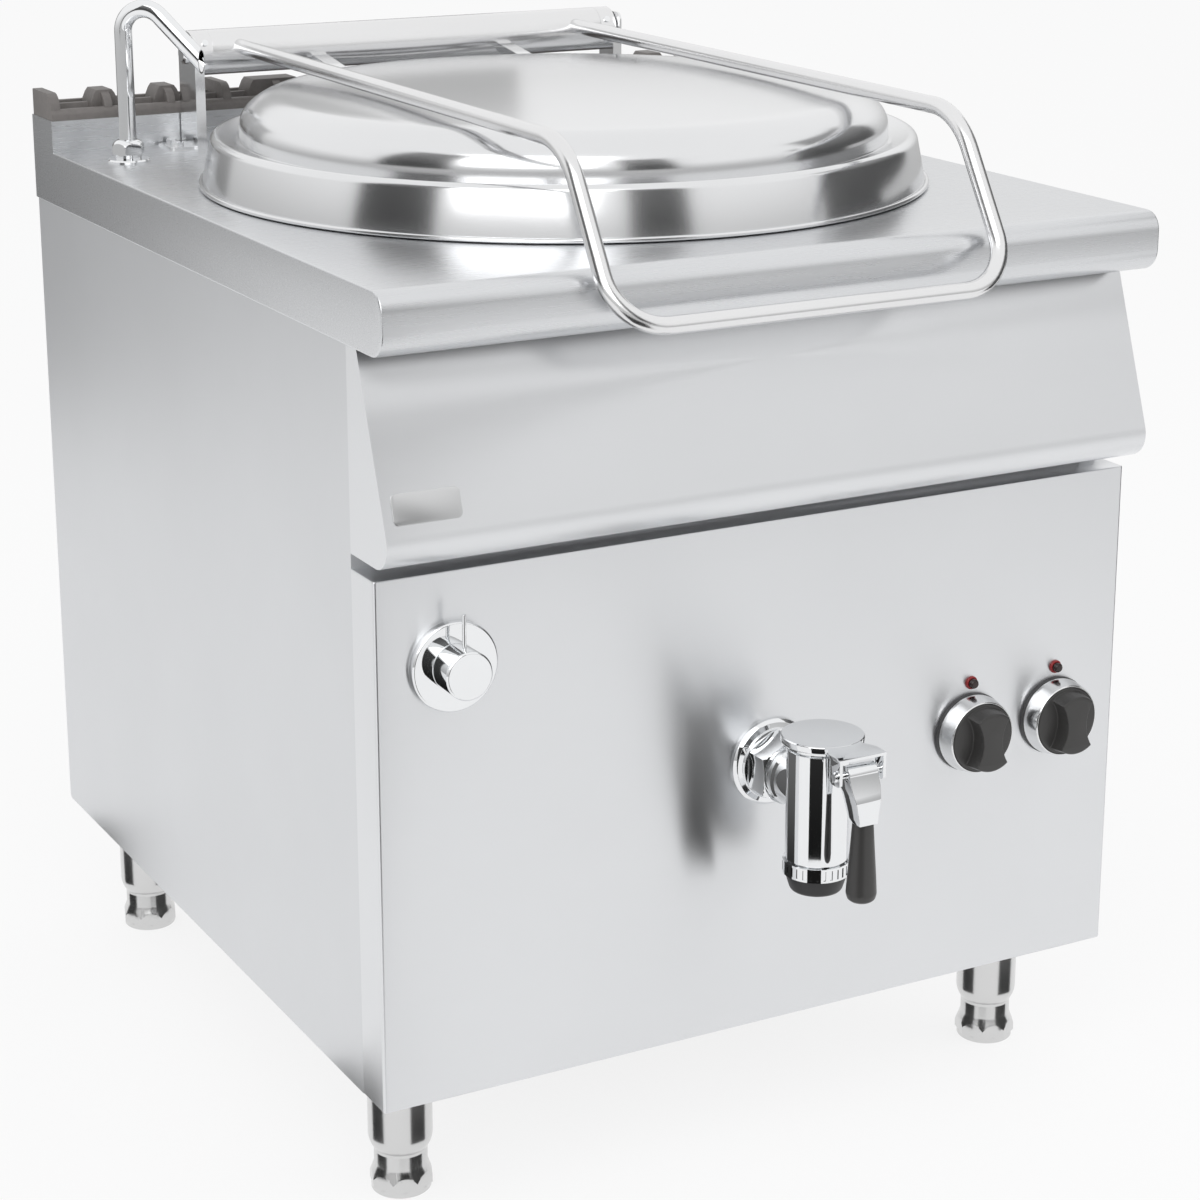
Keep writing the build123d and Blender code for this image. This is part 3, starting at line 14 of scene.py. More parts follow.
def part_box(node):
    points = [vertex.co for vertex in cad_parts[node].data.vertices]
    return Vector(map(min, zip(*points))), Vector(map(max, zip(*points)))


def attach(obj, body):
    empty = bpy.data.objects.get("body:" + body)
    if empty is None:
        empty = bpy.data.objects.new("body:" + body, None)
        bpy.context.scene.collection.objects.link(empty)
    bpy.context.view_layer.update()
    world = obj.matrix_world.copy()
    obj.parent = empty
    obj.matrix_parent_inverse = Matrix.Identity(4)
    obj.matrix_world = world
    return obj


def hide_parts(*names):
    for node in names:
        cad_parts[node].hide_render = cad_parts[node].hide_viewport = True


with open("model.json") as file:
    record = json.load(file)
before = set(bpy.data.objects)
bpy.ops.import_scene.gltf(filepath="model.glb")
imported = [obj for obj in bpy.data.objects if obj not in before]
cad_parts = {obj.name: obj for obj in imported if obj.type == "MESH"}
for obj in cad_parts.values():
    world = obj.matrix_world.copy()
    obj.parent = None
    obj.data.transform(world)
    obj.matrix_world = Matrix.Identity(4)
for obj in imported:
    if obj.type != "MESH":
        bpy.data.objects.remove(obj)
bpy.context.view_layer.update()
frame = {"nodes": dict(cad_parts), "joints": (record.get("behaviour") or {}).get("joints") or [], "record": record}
nodes = frame["nodes"]

# -------------------- names taken from the frame
HINGE = Vector(next(j for j in frame["joints"] if j["name"] == "lid_hinge")["pos_m"])
KETTLE = sum(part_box("vessel"), Vector()) / 2
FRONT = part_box("front_panel")[0].y
MM = 0.001
SLOTS = {part["node"]: part["material_slot"] for part in frame["record"]["subparts"]}
BODIES = frame["record"]["behaviour"]["bodies"]
BODY_OF = {node: body for body, members in BODIES.items() for node in members}


# -------------------- node helpers
def new_material(name):
    """Node material with a Principled shader; returns the material, its tree and the shader."""
    material = bpy.data.materials.new(name)
    material.use_nodes = True
    tree = material.node_tree
    shader = tree.nodes["Principled BSDF"]
    return material, tree, shader


def object_coordinates(tree, scale=(1, 1, 1)):
    """Object coordinates in metres, stretched by a scale."""
    coordinates = tree.nodes.new("ShaderNodeTexCoord")
    mapping = tree.nodes.new("ShaderNodeMapping")
    mapping.inputs["Scale"].default_value = scale
    tree.links.new(coordinates.outputs["Object"], mapping.inputs["Vector"])
    return mapping.outputs["Vector"]


def noise(tree, vector, scale, detail=3.0, roughness=0.5):
    """Noise value between 0 and 1."""
    node = tree.nodes.new("ShaderNodeTexNoise")
    node.inputs["Scale"].default_value = scale
    node.inputs["Detail"].default_value = detail
    node.inputs["Roughness"].default_value = roughness
    tree.links.new(vector, node.inputs["Vector"])
    return node.outputs["Fac"]


NOISE_RANGE = (0.25, 0.75)      # where almost all of a noise value lies
GRAIN_SCALE = 900.0             # noise cells in a metre
CLOUD_SCALE = 5.0
GRAIN_DEPTH = 0.00012           # metres
SHADE = 0.94                    # darker clouds in the steel


def remap(tree, value, low, high):
    """Spreads a noise value over another range."""
    node = tree.nodes.new("ShaderNodeMapRange")
    node.inputs["From Min"].default_value, node.inputs["From Max"].default_value = NOISE_RANGE
    node.inputs["To Min"].default_value = low
    node.inputs["To Max"].default_value = high
    tree.links.new(value, node.inputs["Value"])
    return node.outputs["Result"]


def tint(tree, value, dark, light):
    """Colour between two colours by a 0 to 1 value."""
    node = tree.nodes.new("ShaderNodeMix")
    node.data_type = "RGBA"
    node.inputs["A"].default_value = (*dark, 1)
    node.inputs["B"].default_value = (*light, 1)
    tree.links.new(value, node.inputs["Factor"])
    return node.outputs["Result"]


def bump(tree, shader, height, strength, distance):
    """Connects a height to the shader's normal."""
    node = tree.nodes.new("ShaderNodeBump")
    node.inputs["Strength"].default_value = strength
    node.inputs["Distance"].default_value = distance
    tree.links.new(height, node.inputs["Height"])
    tree.links.new(node.outputs["Normal"], shader.inputs["Normal"])


def steel(name, stretch, color, rough, spread=0.015, grain=0.03, across=0.0):
    """Stainless steel: fine grain stretched along one direction, with faint cloudy variation.

    Across is how much more the level grain blurs reflections up and down than sideways.
    """
    material, tree, shader = new_material(name)
    shader.inputs["Metallic"].default_value = 1.0
    if across:
        shader.inputs["Anisotropic"].default_value = across
        shader.inputs["Anisotropic Rotation"].default_value = 0.25
        tangent = tree.nodes.new("ShaderNodeTangent")
        tangent.direction_type = "RADIAL"
        tangent.axis = "Z"
        tree.links.new(tangent.outputs["Tangent"], shader.inputs["Tangent"])
    lines = noise(tree, object_coordinates(tree, stretch), GRAIN_SCALE, 2.0)
    clouds = noise(tree, object_coordinates(tree), CLOUD_SCALE, 4.0)
    dark = tuple(c * SHADE for c in color)
    tree.links.new(tint(tree, clouds, dark, color), shader.inputs["Base Color"])
    tree.links.new(remap(tree, lines, rough - spread, rough + spread), shader.inputs["Roughness"])
    bump(tree, shader, lines, grain, GRAIN_DEPTH)
    return material


def chrome(name, color=(0.86, 0.87, 0.88)):
    """Bright plating with the faintest unevenness."""
    material, tree, shader = new_material(name)
    shader.inputs["Metallic"].default_value = 1.0
    clouds = noise(tree, object_coordinates(tree), 40.0, 3.0)
    dark = tuple(c * 0.96 for c in color)
    tree.links.new(tint(tree, clouds, dark, color), shader.inputs["Base Color"])
    tree.links.new(remap(tree, clouds, 0.03, 0.07), shader.inputs["Roughness"])
    return material


def plastic(name, color, rough, grain=0.25, size=2600.0):
    """Moulded plastic with a fine spark-eroded grain."""
    material, tree, shader = new_material(name)
    fine = noise(tree, object_coordinates(tree), size, 2.0)
    light = tuple(min(1.0, c * 1.25 + 0.004) for c in color)
    tree.links.new(tint(tree, fine, color, light), shader.inputs["Base Color"])
    tree.links.new(remap(tree, fine, rough - 0.05, rough + 0.05), shader.inputs["Roughness"])
    bump(tree, shader, fine, grain, 0.00008)
    return material


def casting(name, dark, light):
    """Enamelled casting with a slightly orange-peeled skin."""
    material, tree, shader = new_material(name)
    lumps = noise(tree, object_coordinates(tree), 160.0, 5.0, 0.6)
    fine = noise(tree, object_coordinates(tree), 900.0, 2.0)
    tree.links.new(tint(tree, lumps, dark, light), shader.inputs["Base Color"])
    tree.links.new(remap(tree, fine, 0.38, 0.55), shader.inputs["Roughness"])
    bump(tree, shader, lumps, 0.35, 0.0006)
    return material


def wool(name, color):
    """Mineral wool: soft fibres."""
    material, tree, shader = new_material(name)
    fibres = noise(tree, object_coordinates(tree, (1, 1, 4)), 220.0, 6.0, 0.7)
    dark = tuple(c * 0.7 for c in color)
    tree.links.new(tint(tree, fibres, dark, color), shader.inputs["Base Color"])
    shader.inputs["Roughness"].default_value = 0.95
    bump(tree, shader, fibres, 0.8, 0.002)
    return material


ALONG_X = (0.02, 1, 1)
ALONG_Z = (1, 1, 0.02)

MATERIALS = {
    # Front, side and top steel differ in grain and roughness as real finishes. Their base colours also differ as
    # painted shade: the front is lightest and the worktop darkest.
    "front_steel": steel("front_steel", ALONG_X, (0.80, 0.81, 0.825), 0.30, across=0.85),
    "side_steel": steel("side_steel", ALONG_Z, (0.755, 0.765, 0.78), 0.42),
    "top_steel": steel("top_steel", ALONG_X, (0.72, 0.73, 0.745), 0.28),
    "polished_steel": steel("polished_steel", ALONG_X, (0.84, 0.845, 0.85), 0.16, 0.03, 0.04),
    "frame_steel": steel("frame_steel", ALONG_X, (0.62, 0.62, 0.63), 0.45),
    "lid_steel": steel("lid_steel", (1, 1, 1), (0.80, 0.805, 0.815), 0.17, 0.02, 0.02),
    "leg_steel": steel("leg_steel", (1, 1, 0.02), (0.70, 0.70, 0.70), 0.2, 0.02, 0.02),
    "badge_steel": steel("badge_steel", ALONG_X, (0.70, 0.705, 0.71), 0.35, 0.02, 0.03),
    "red_plastic": plastic("red_plastic", (0.22, 0.008, 0.01), 0.3, 0.1),
    "tube_steel": steel("tube_steel", (1, 1, 1), (0.82, 0.82, 0.825), 0.2, 0.03, 0.03),
    "chrome": chrome("chrome"),
    "cast_grey": casting("cast_grey", (0.13, 0.12, 0.115), (0.20, 0.185, 0.175)),
    "black_plastic": plastic("black_plastic", (0.012, 0.012, 0.013), 0.42),
    "knob_plastic": plastic("knob_plastic", (0.03, 0.029, 0.028), 0.36),
    "dark_plastic": plastic("dark_plastic", (0.04, 0.04, 0.042), 0.45),
    "lens": plastic("lens", (0.016, 0.006, 0.006), 0.15, 0.0),
    "grey_plastic": plastic("grey_plastic", (0.35, 0.36, 0.37), 0.5),
    "mineral_wool": wool("mineral_wool", (0.55, 0.50, 0.40)),
    "silicone": plastic("silicone", (0.5, 0.5, 0.48), 0.6),
    "copper_tube": steel("copper_tube", ALONG_Z, (0.75, 0.42, 0.28), 0.3),
}

NODE_MATERIALS = {
    "front_panel": "front_steel",
    "control_fascia": "front_steel",
    "side_panel_left": "side_steel",
    "side_panel_right": "side_steel",
    "rear_panel": "side_steel",
    "worktop": "top_steel",
    "hinge_sleeves": "tube_steel",
}


def dress_nodes():
    """Gives every carried-over node its material."""
    for name, node in nodes.items():
        key = NODE_MATERIALS.get(name, SLOTS[name])
        key = "side_steel" if key == "satin_steel" else key
        node.data.materials.clear()
        node.data.materials.append(MATERIALS[key])


def smooth_normals(mesh, angle=32.0):
    """Shades a mesh smoothly wherever its faces meet at less than an angle in degrees."""
    count = len(mesh.loops)
    places = np.empty(len(mesh.vertices) * 3, np.float32)
    mesh.vertices.foreach_get("co", places)
    corners = np.empty(count, np.int32)
    mesh.loops.foreach_get("vertex_index", corners)
    starts = np.empty(len(mesh.polygons), np.int32)
    totals = np.empty(len(mesh.polygons), np.int32)
    mesh.polygons.foreach_get("loop_start", starts)
    mesh.polygons.foreach_get("loop_total", totals)
    face_of = np.repeat(np.arange(len(starts)), totals)
    points = places.reshape(-1, 3)
    _, same = np.unique(np.round(points * 1e5).astype(np.int64), axis=0, return_inverse=True)
    corner_points = points[corners]
    face_normals = np.empty(len(starts) * 3, np.float32)
    mesh.polygons.foreach_get("normal", face_normals)
    face_normals = face_normals.reshape(-1, 3).astype(np.float64)
    area = np.empty(len(starts), np.float32)
    mesh.polygons.foreach_get("area", area)
    index = np.arange(count)
    low, high = starts[face_of], (starts + totals)[face_of]
    after = np.where(index + 1 < high, index + 1, low)
    before = np.where(index > low, index - 1, high - 1)
    side_a = corner_points[after] - corner_points
    side_b = corner_points[before] - corner_points
    lengths = np.linalg.norm(side_a, axis=1) * np.linalg.norm(side_b, axis=1)
    cosine = np.einsum("ij,ij->i", side_a, side_b) / np.maximum(lengths, 1e-16)
    opening = np.arccos(np.clip(cosine, -1, 1))
    order = np.argsort(same.ravel()[corners], kind="stable")
    group = same.ravel()[corners][order]
    normal = face_normals[face_of][order]
    weight = (opening * (area[face_of] > 1e-14))[order]
    total = normal * (weight[:, None] + 1e-6)
    limit = math.cos(math.radians(angle))
    step = 1
    while step < count:
        together = np.nonzero(group[:-step] == group[step:])[0]
        if not len(together):
            break
        other = together + step
        near = np.einsum("ij,ij->i", normal[together], normal[other]) > limit
        together, other = together[near], other[near]
        np.add.at(total, together, normal[other] * weight[other][:, None])
        np.add.at(total, other, normal[together] * weight[together][:, None])
        step += 1
    total /= np.maximum(np.linalg.norm(total, axis=1), 1e-16)[:, None]
    result = np.empty((count, 3))
    result[order] = total
    mesh.polygons.foreach_set("use_smooth", np.ones(len(starts), bool))
    mesh.normals_split_custom_set(result.tolist())


def shown_as(name, mesh, node, material):
    """Adds a finer mesh that is shown instead of a CAD node and moves with its body."""
    piece = bpy.data.objects.new(name, mesh)
    bpy.context.scene.collection.objects.link(piece)
    mesh.materials.clear()
    mesh.materials.append(MATERIALS[material])
    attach(piece, BODY_OF[node])
    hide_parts(node)


def rounded(node, material, width, segments=2, sharp=28.0):
    """Copy of a CAD node whose sharp edges are rounded off."""
    build = bmesh.new()
    build.from_mesh(nodes[node].data)
    bmesh.ops.remove_doubles(build, verts=build.verts, dist=1e-6)
    bmesh.ops.dissolve_limit(
        build, angle_limit=math.radians(0.4), verts=build.verts, edges=build.edges,
        use_dissolve_boundaries=False,
    )
    limit = math.radians(sharp)
    edges = [e for e in build.edges if len(e.link_faces) == 2 and e.calc_face_angle(0) > limit]
    bmesh.ops.bevel(
        build, geom=edges, offset=width, offset_type="OFFSET", segments=segments, profile=0.5,
        affect="EDGES", clamp_overlap=True, loop_slide=True,
    )
    mesh = bpy.data.meshes.new(node + "_fine")
    build.to_mesh(mesh)
    build.free()
    smooth_normals(mesh)
    shown_as(node + "_fine", mesh, node, material)


def lathe(outline, start, direction, steps, corner):
    """Mesh turned about an axis from (radius, distance) points, with its corners rounded."""
    points = rounded_outline(outline, corner)
    axis = Vector(direction).normalized()
    side = axis.orthogonal().normalized()
    up = axis.cross(side)
    build = bmesh.new()
    rings = []
    for radius, along in points:
        base = Vector(start) + axis * along
        if radius < 1e-7:
            rings.append([build.verts.new(base)])
            continue
        ring = []
        for index in range(steps):
            angle = 2 * math.pi * index / steps
            outwards = side * math.cos(angle) + up * math.sin(angle)
            ring.append(build.verts.new(base + outwards * radius))
        rings.append(ring)
    closed = points[0][0] > 1e-7
    pairs = list(zip(rings, rings[1:])) + ([(rings[-1], rings[0])] if closed else [])
    for lower, upper in pairs:
        if len(lower) == 1 and len(upper) == 1:
            continue
        for index in range(steps):
            after = (index + 1) % steps
            if len(lower) == 1:
                build.faces.new((lower[0], upper[after], upper[index]))
            elif len(upper) == 1:
                build.faces.new((lower[index], lower[after], upper[0]))
            else:
                build.faces.new((lower[index], lower[after], upper[after], upper[index]))
    bmesh.ops.recalc_face_normals(build, faces=build.faces)
    return build


def rounded_outline(outline, corner):
    """Outline whose corners are replaced by short arcs of about the given size."""
    count = len(outline)
    ends_on_axis = outline[0][0] < 1e-7
    result = []
    for index, point in enumerate(outline):
        here = Vector(point)
        if ends_on_axis and index in (0, count - 1):
            result.append(tuple(here))
            continue
        before = Vector(outline[index - 1]) - here
        after = Vector(outline[(index + 1) % count]) - here
        reach = min(corner, before.length * 0.45, after.length * 0.45)
        if reach < 1e-6 or before.angle(after) > math.radians(172):
            result.append(tuple(here))
            continue
        first = here + before.normalized() * reach
        last = here + after.normalized() * reach
        for share in (0.0, 0.25, 0.5, 0.75, 1.0):
            result.append(tuple(first.lerp(here, share).lerp(here.lerp(last, share), share)))
    return result


def finish_mesh(name, *builds):
    """One mesh from several bmesh parts, shaded smoothly."""
    mesh = bpy.data.meshes.new(name)
    whole = bmesh.new()
    for build in builds:
        part = bpy.data.meshes.new("part")
        build.to_mesh(part)
        build.free()
        whole.from_mesh(part)
        bpy.data.meshes.remove(part)
    whole.to_mesh(mesh)
    whole.free()
    smooth_normals(mesh)
    return mesh


def tube(points, radius, bends, steps):
    """Tube of round section along straight runs joined by arcs, as one swept mesh."""
    path = bent_path(points, bends)
    build = bmesh.new()
    side = None
    rings = []
    for index, place in enumerate(path):
        before = path[max(index - 1, 0)]
        after = path[min(index + 1, len(path) - 1)]
        along = (after - before).normalized()
        side = along.orthogonal() if side is None else side - along * side.dot(along)
        side.normalize()
        up = along.cross(side)
        ring = []
        for turn in range(steps):
            angle = 2 * math.pi * turn / steps
            outwards = side * math.cos(angle) + up * math.sin(angle)
            ring.append(build.verts.new(place + outwards * radius))
        rings.append(ring)
    for lower, upper in zip(rings, rings[1:]):
        for turn in range(steps):
            after = (turn + 1) % steps
            build.faces.new((lower[turn], lower[after], upper[after], upper[turn]))
    build.faces.new(rings[0][::-1])
    build.faces.new(rings[-1])
    return build


def bent_path(points, bends, steps=14):
    """Points along a polyline whose inner corners are arcs of the given radii."""
    points = [Vector(p) for p in points]
    path = [points[0]]
    for corner, radius, before, after in zip(points[1:-1], bends, points, points[2:]):
        back = (before - corner).normalized()
        forth = (after - corner).normalized()
        half = back.angle(forth) / 2
        reach = radius / math.tan(half)
        centre = corner + (back + forth).normalized() * (radius / math.sin(half))
        first = corner + back * reach - centre
        last = corner + forth * reach - centre
        sweep = first.angle(last)
        for index in range(steps + 1):
            share = index / steps
            blend = first * math.sin((1 - share) * sweep) + last * math.sin(share * sweep)
            path.append(centre + blend / math.sin(sweep))
    path.append(points[-1])
    return path


dress_nodes()
for dressed in nodes.values():
    smooth_normals(dressed.data)


# -------------------- finely modelled fittings
# Sizes below are in millimetres, as in the part's own drawing.
FRONT_Y = FRONT / MM
TAP_Y = FRONT_Y - 82
PIPE_Z = 401                      # axis of the tap's inlet
WATER_X, WATER_Z = -325, 548      # middle of the filling valve
KNOB_Z, LAMP_Z = 390, 439.5
KNOBS = ("knob_power", "knob_thermostat")
LEG_X, LEG_FRONT_Y, LEG_REAR_Y = 336, -244, 444
KETTLE_Y = KETTLE.y / MM
HINGE_Y, HINGE_Z = HINGE.y / MM, HINGE.z / MM
TOWARDS_USER = (0, -1, 0)
UPWARDS = (0, 0, 1)


def turned(outline, start, direction, steps=96, corner=0.4):
    """Lathe whose outline, start and corners are given in millimetres."""
    points = [(radius * MM, along * MM) for radius, along in outline]
    return lathe(points, [c * MM for c in start], direction, steps, corner * MM)


def add_turned(name, node, material, turnings, steps=96, corner=0.4):
    """One piece of several turned forms that stands for a CAD node."""
    builds = [turned(*turning, steps, corner) for turning in turnings]
    shown_as(name, finish_mesh(name, *builds), node, material)


def arc_points(centre, radius, start, end, steps):
    """Points on an arc between two angles in degrees, as radius and height."""
    points = []
    for index in range(steps + 1):
        angle = math.radians(start + (end - start) * index / steps)
        points.append((centre[0] + radius * math.cos(angle), centre[1] + radius * math.sin(angle)))
    return points


def lid_outline(inset):
    """Outer surface of the lid from the axis to the skirt's end, or its inside when inset."""
    knuckle, across, high = 27 - inset, 45 - inset, 34 - inset
    crown = ((across - knuckle) ** 2 + high**2 - knuckle**2) / (2 * (high - knuckle))
    join = math.degrees(math.atan2(across - knuckle, crown - high))
    low = 943
    crown_low = low + high
    top = [(277 * share / 24, crown_low + 7 * (1 - (share / 24) ** 2)) for share in range(24)]
    shoulder = arc_points((277, crown_low - crown), crown, 90, 90 - join, 8)
    corner = arc_points((277 + across - knuckle, low), knuckle, 90 - join, 0, 16)
    groove = [(322 - inset, 932 - inset), (326 - inset, 932 - inset)]
    rim = arc_points((343.5, 929.5), 8 - inset, 100, 12, 8)
    return top + shoulder[1:] + corner[1:] + groove + rim + [(359.5 - inset, 891)]


def add_lid_shell():
    """The pressed lid with its rolled edge and the gasket's collar."""
    outer = lid_outline(0)
    inner = lid_outline(1.5)
    shell = turned(outer + inner[::-1], (0, KETTLE_Y, 0), UPWARDS, 256, 0.8)
    bead = turned(arc_points((361.2, 890), 2.4, 0, 345, 23), (0, KETTLE_Y, 0), UPWARDS, 256, 0)
    collar = [(324.5, 931), (324.5, 898), (318, 898), (318, 896.5), (326, 896.5), (326, 931)]
    ring = turned(collar, (0, KETTLE_Y, 0), UPWARDS, 192, 0.3)
    mesh = finish_mesh("lid_shell_fine", shell, bead, ring)
    shown_as("lid_shell_fine", mesh, "lid_shell", "lid_steel")


def add_handle():
    """The bent tube, round enough for its reflections."""
    left = [(-202, HINGE_Y - 20, 992), (-202, -329, 989), (-202, -421, 843)]
    right = [(-x, y, z) for x, y, z in reversed(left)]
    points = [[c * MM for c in point] for point in left + right]
    mesh = finish_mesh("handle_fine", tube(points, 8 * MM, [r * MM for r in (70, 50, 50, 70)], 48))
    shown_as("handle_fine", mesh, "handle", "tube_steel")


def add_tap():
    """Turned and rounded pieces of the drain tap."""
    flange = [(24.15, 0), (42, 0), (42, 3), (39, 6), (34, 7), (34, 10), (24.15, 10)]
    wall_plate = [(flange, (0, FRONT_Y, PIPE_Z), TOWARDS_USER)]
    add_turned("tap_flange_fine", "tap_flange", "chrome", wall_plate)
    body = [(20, 334.5), (27.5, 334.5), (29, 336), (29, 441), (20, 441)]
    neck = [(0, 0), (27.5, 0), (28.5, 3), (28.5, 8), (26.5, 11), (26.5, 40), (0, 40)]
    add_turned(
        "tap_body_fine", "tap_body", "chrome",
        [(body, (0, TAP_Y, 0), UPWARDS), (neck, (0, FRONT_Y - 38, PIPE_Z), TOWARDS_USER)], 128,
    )
    nozzle = [(19, 305), (23, 305), (24.5, 307), (29, 321.5), (19, 321.5)]
    add_turned("tap_nozzle_fine", "tap_nozzle", "black_plastic", [(nozzle, (0, TAP_Y, 0), UPWARDS)])
    grip = [
        (0, 320), (5, 320), (9.6, 320.6), (12.6, 323), (13.9, 328), (13, 344), (11, 372), (9.5, 395),
        (0, 395),
    ]
    grips = [(grip, (0, FRONT_Y - 156, 0), UPWARDS)]
    add_turned("lever_grip_fine", "lever_grip", "knob_plastic", grips, 64, 1.2)
    rounded("tap_nut", "chrome", 0.5 * MM)
    rounded("tap_cap", "chrome", 0.6 * MM)
    rounded("tap_lever", "chrome", 1.6 * MM, 3)


def add_controls():
    """Knobs, bezels, lamps and the filling valve's turned pieces."""
    places = [sum(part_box(node), Vector()) / 2 / MM for node in KNOBS]
    bezel = [(34.3, 0), (38.4, 0), (38.4, 4), (35.6, 17), (34.8, 18), (34.3, 18)]
    collar = [(34.3, 0), (39, 0), (39, 4), (34.3, 4)]
    lamp = [(0, 0), (4.6, 0), (4.6, 6), (3.5, 7.6), (0, 8)]
    lamp_ring = [(4.6, 0), (6.5, 0), (6.5, 1.5), (5.4, 2.4), (4.6, 2.4)]
    bezels = [(bezel, (place.x, FRONT_Y - 4, KNOB_Z), TOWARDS_USER) for place in places]
    add_turned("knob_bezels_fine", "knob_bezels", "polished_steel", bezels)
    rings = [(collar, (place.x, FRONT_Y, KNOB_Z), TOWARDS_USER) for place in places]
    add_turned("knob_rings_fine", "knob_rings", "dark_plastic", rings)
    lamps = [(lamp, (place.x, FRONT_Y, LAMP_Z), TOWARDS_USER) for place in places]
    add_turned("pilot_lamps_fine", "pilot_lamps", "lens", lamps, 48)
    lamp_rings = [
        turned(lamp_ring, (place.x, FRONT_Y, LAMP_Z), TOWARDS_USER, 48) for place in places
    ]
    rims = finish_mesh("pilot_rings_fine", *lamp_rings)
    shown_as("pilot_rings_fine", rims, "pilot_lamps", "red_plastic")
    for node in KNOBS:
        rounded(node, "knob_plastic", 1.2 * MM, 3)
    plate = [(4.1, 0), (41, 0), (41, 6.5), (39.5, 8), (4.1, 8)]
    plates = [(plate, (WATER_X, FRONT_Y, WATER_Z), TOWARDS_USER)]
    add_turned("water_escutcheon_fine", "water_escutcheon", "chrome", plates, 128)
    knob = [(0, -30), (4, -30), (4, 8.3), (21.5, 8.3), (22, 9), (22, 34.5), (20.5, 36), (0, 36)]
    pin = [(0, 0), (1.75, 0), (1.75, 37.6), (1.35, 38), (0, 38)]
    add_turned(
        "water_knob_fine", "water_knob", "chrome",
        [
            (knob, (WATER_X, FRONT_Y, WATER_Z), TOWARDS_USER),
            (pin, (WATER_X, FRONT_Y - 25, WATER_Z + 15), UPWARDS),
        ],
    )


def add_legs():
    """Tubular legs, and feet with rounded edges."""
    sleeve = [(0, 137), (30.5, 137), (30.5, 58)]
    sleeve += arc_points((5.9, 58), 24.6, 0, -47, 10)[1:]
    sleeve += [(25.35, 40), (25.35, 112), (0, 112)]
    places = [(x, y, 0) for x in (-LEG_X, LEG_X) for y in (LEG_FRONT_Y, LEG_REAR_Y)]
    sleeves = [(sleeve, place, UPWARDS) for place in places]
    add_turned("leg_sleeves_fine", "leg_sleeves", "leg_steel", sleeves)
    for node in sorted(n for n in nodes if n.startswith("foot_")):
        rounded(node, "leg_steel", 0.8 * MM)


add_lid_shell()
add_handle()
add_tap()
add_controls()
add_legs()
add_turned(
    "hinge_tube_fine", "hinge_tube", "tube_steel",
    [([(22, -234), (24, -234), (24, 234), (22, 234)], (0, HINGE_Y, HINGE_Z), (1, 0, 0))], 160,
)
rounded("flue_grille", "cast_grey", 1.8 * MM, 3)
rounded("badge_plate", "badge_steel", 0.35 * MM)


# -------------------- floor, surroundings, light and camera
SKY = 0.78                        # grey that lights the object
FLOOR_REACH = 40.0
FLOOR_GREY = (0.9, 0.9, 0.9, 1)
FLOOR_GLOW = 0.82                 # share of plain white, the rest keeps the shadow


def make_floor():
    """Pale floor that reads as white to the camera and in reflections, and keeps a soft shadow."""
    mesh = bpy.data.meshes.new("floor")
    signs = ((-1, -1), (1, -1), (1, 1), (-1, 1))
    corners = [(x * FLOOR_REACH, y * FLOOR_REACH, 0) for x, y in signs]
    mesh.from_pydata(corners, [], [(0, 1, 2, 3)])
    floor = bpy.data.objects.new("floor", mesh)
    bpy.context.scene.collection.objects.link(floor)
    material = bpy.data.materials.new("floor")
    material.use_nodes = True
    tree = material.node_tree
    tree.nodes.clear()
    out = tree.nodes.new("ShaderNodeOutputMaterial")
    mix = tree.nodes.new("ShaderNodeMixShader")
    diffuse = tree.nodes.new("ShaderNodeBsdfDiffuse")
    diffuse.inputs["Color"].default_value = FLOOR_GREY
    glow = tree.nodes.new("ShaderNodeEmission")
    glow.inputs["Strength"].default_value = 1.0
    share = tree.nodes.new("ShaderNodeMath")
    share.operation = "MULTIPLY"
    share.inputs[1].default_value = FLOOR_GLOW
    tree.links.new(seen_directly(tree), share.inputs[0])
    tree.links.new(share.outputs[0], mix.inputs["Fac"])
    tree.links.new(diffuse.outputs["BSDF"], mix.inputs[1])
    tree.links.new(glow.outputs["Emission"], mix.inputs[2])
    tree.links.new(mix.outputs["Shader"], out.inputs["Surface"])
    mesh.materials.append(material)


def seen_directly(tree):
    """1 for camera, glossy and transmission rays, else 0."""
    path = tree.nodes.new("ShaderNodeLightPath")
    value = path.outputs["Is Camera Ray"]
    for output in ("Is Glossy Ray", "Is Transmission Ray"):
        node = tree.nodes.new("ShaderNodeMath")
        node.operation = "MAXIMUM"
        tree.links.new(value, node.inputs[0])
        tree.links.new(path.outputs[output], node.inputs[1])
        value = node.outputs[0]
    return value


def make_world():
    """White surroundings for the camera and for reflections; a plain pale sky for the light."""
    world = bpy.data.worlds.new("studio")
    world.use_nodes = True
    bpy.context.scene.world = world
    tree = world.node_tree
    background = tree.nodes["Background"]
    mix = tree.nodes.new("ShaderNodeMix")
    mix.data_type = "RGBA"
    mix.inputs["A"].default_value = (SKY, SKY, SKY * 1.01, 1)
    mix.inputs["B"].default_value = (1, 1, 1, 1)
    tree.links.new(seen_directly(tree), mix.inputs["Factor"])
    tree.links.new(mix.outputs["Result"], background.inputs["Color"])
    background.inputs["Strength"].default_value = 1.0


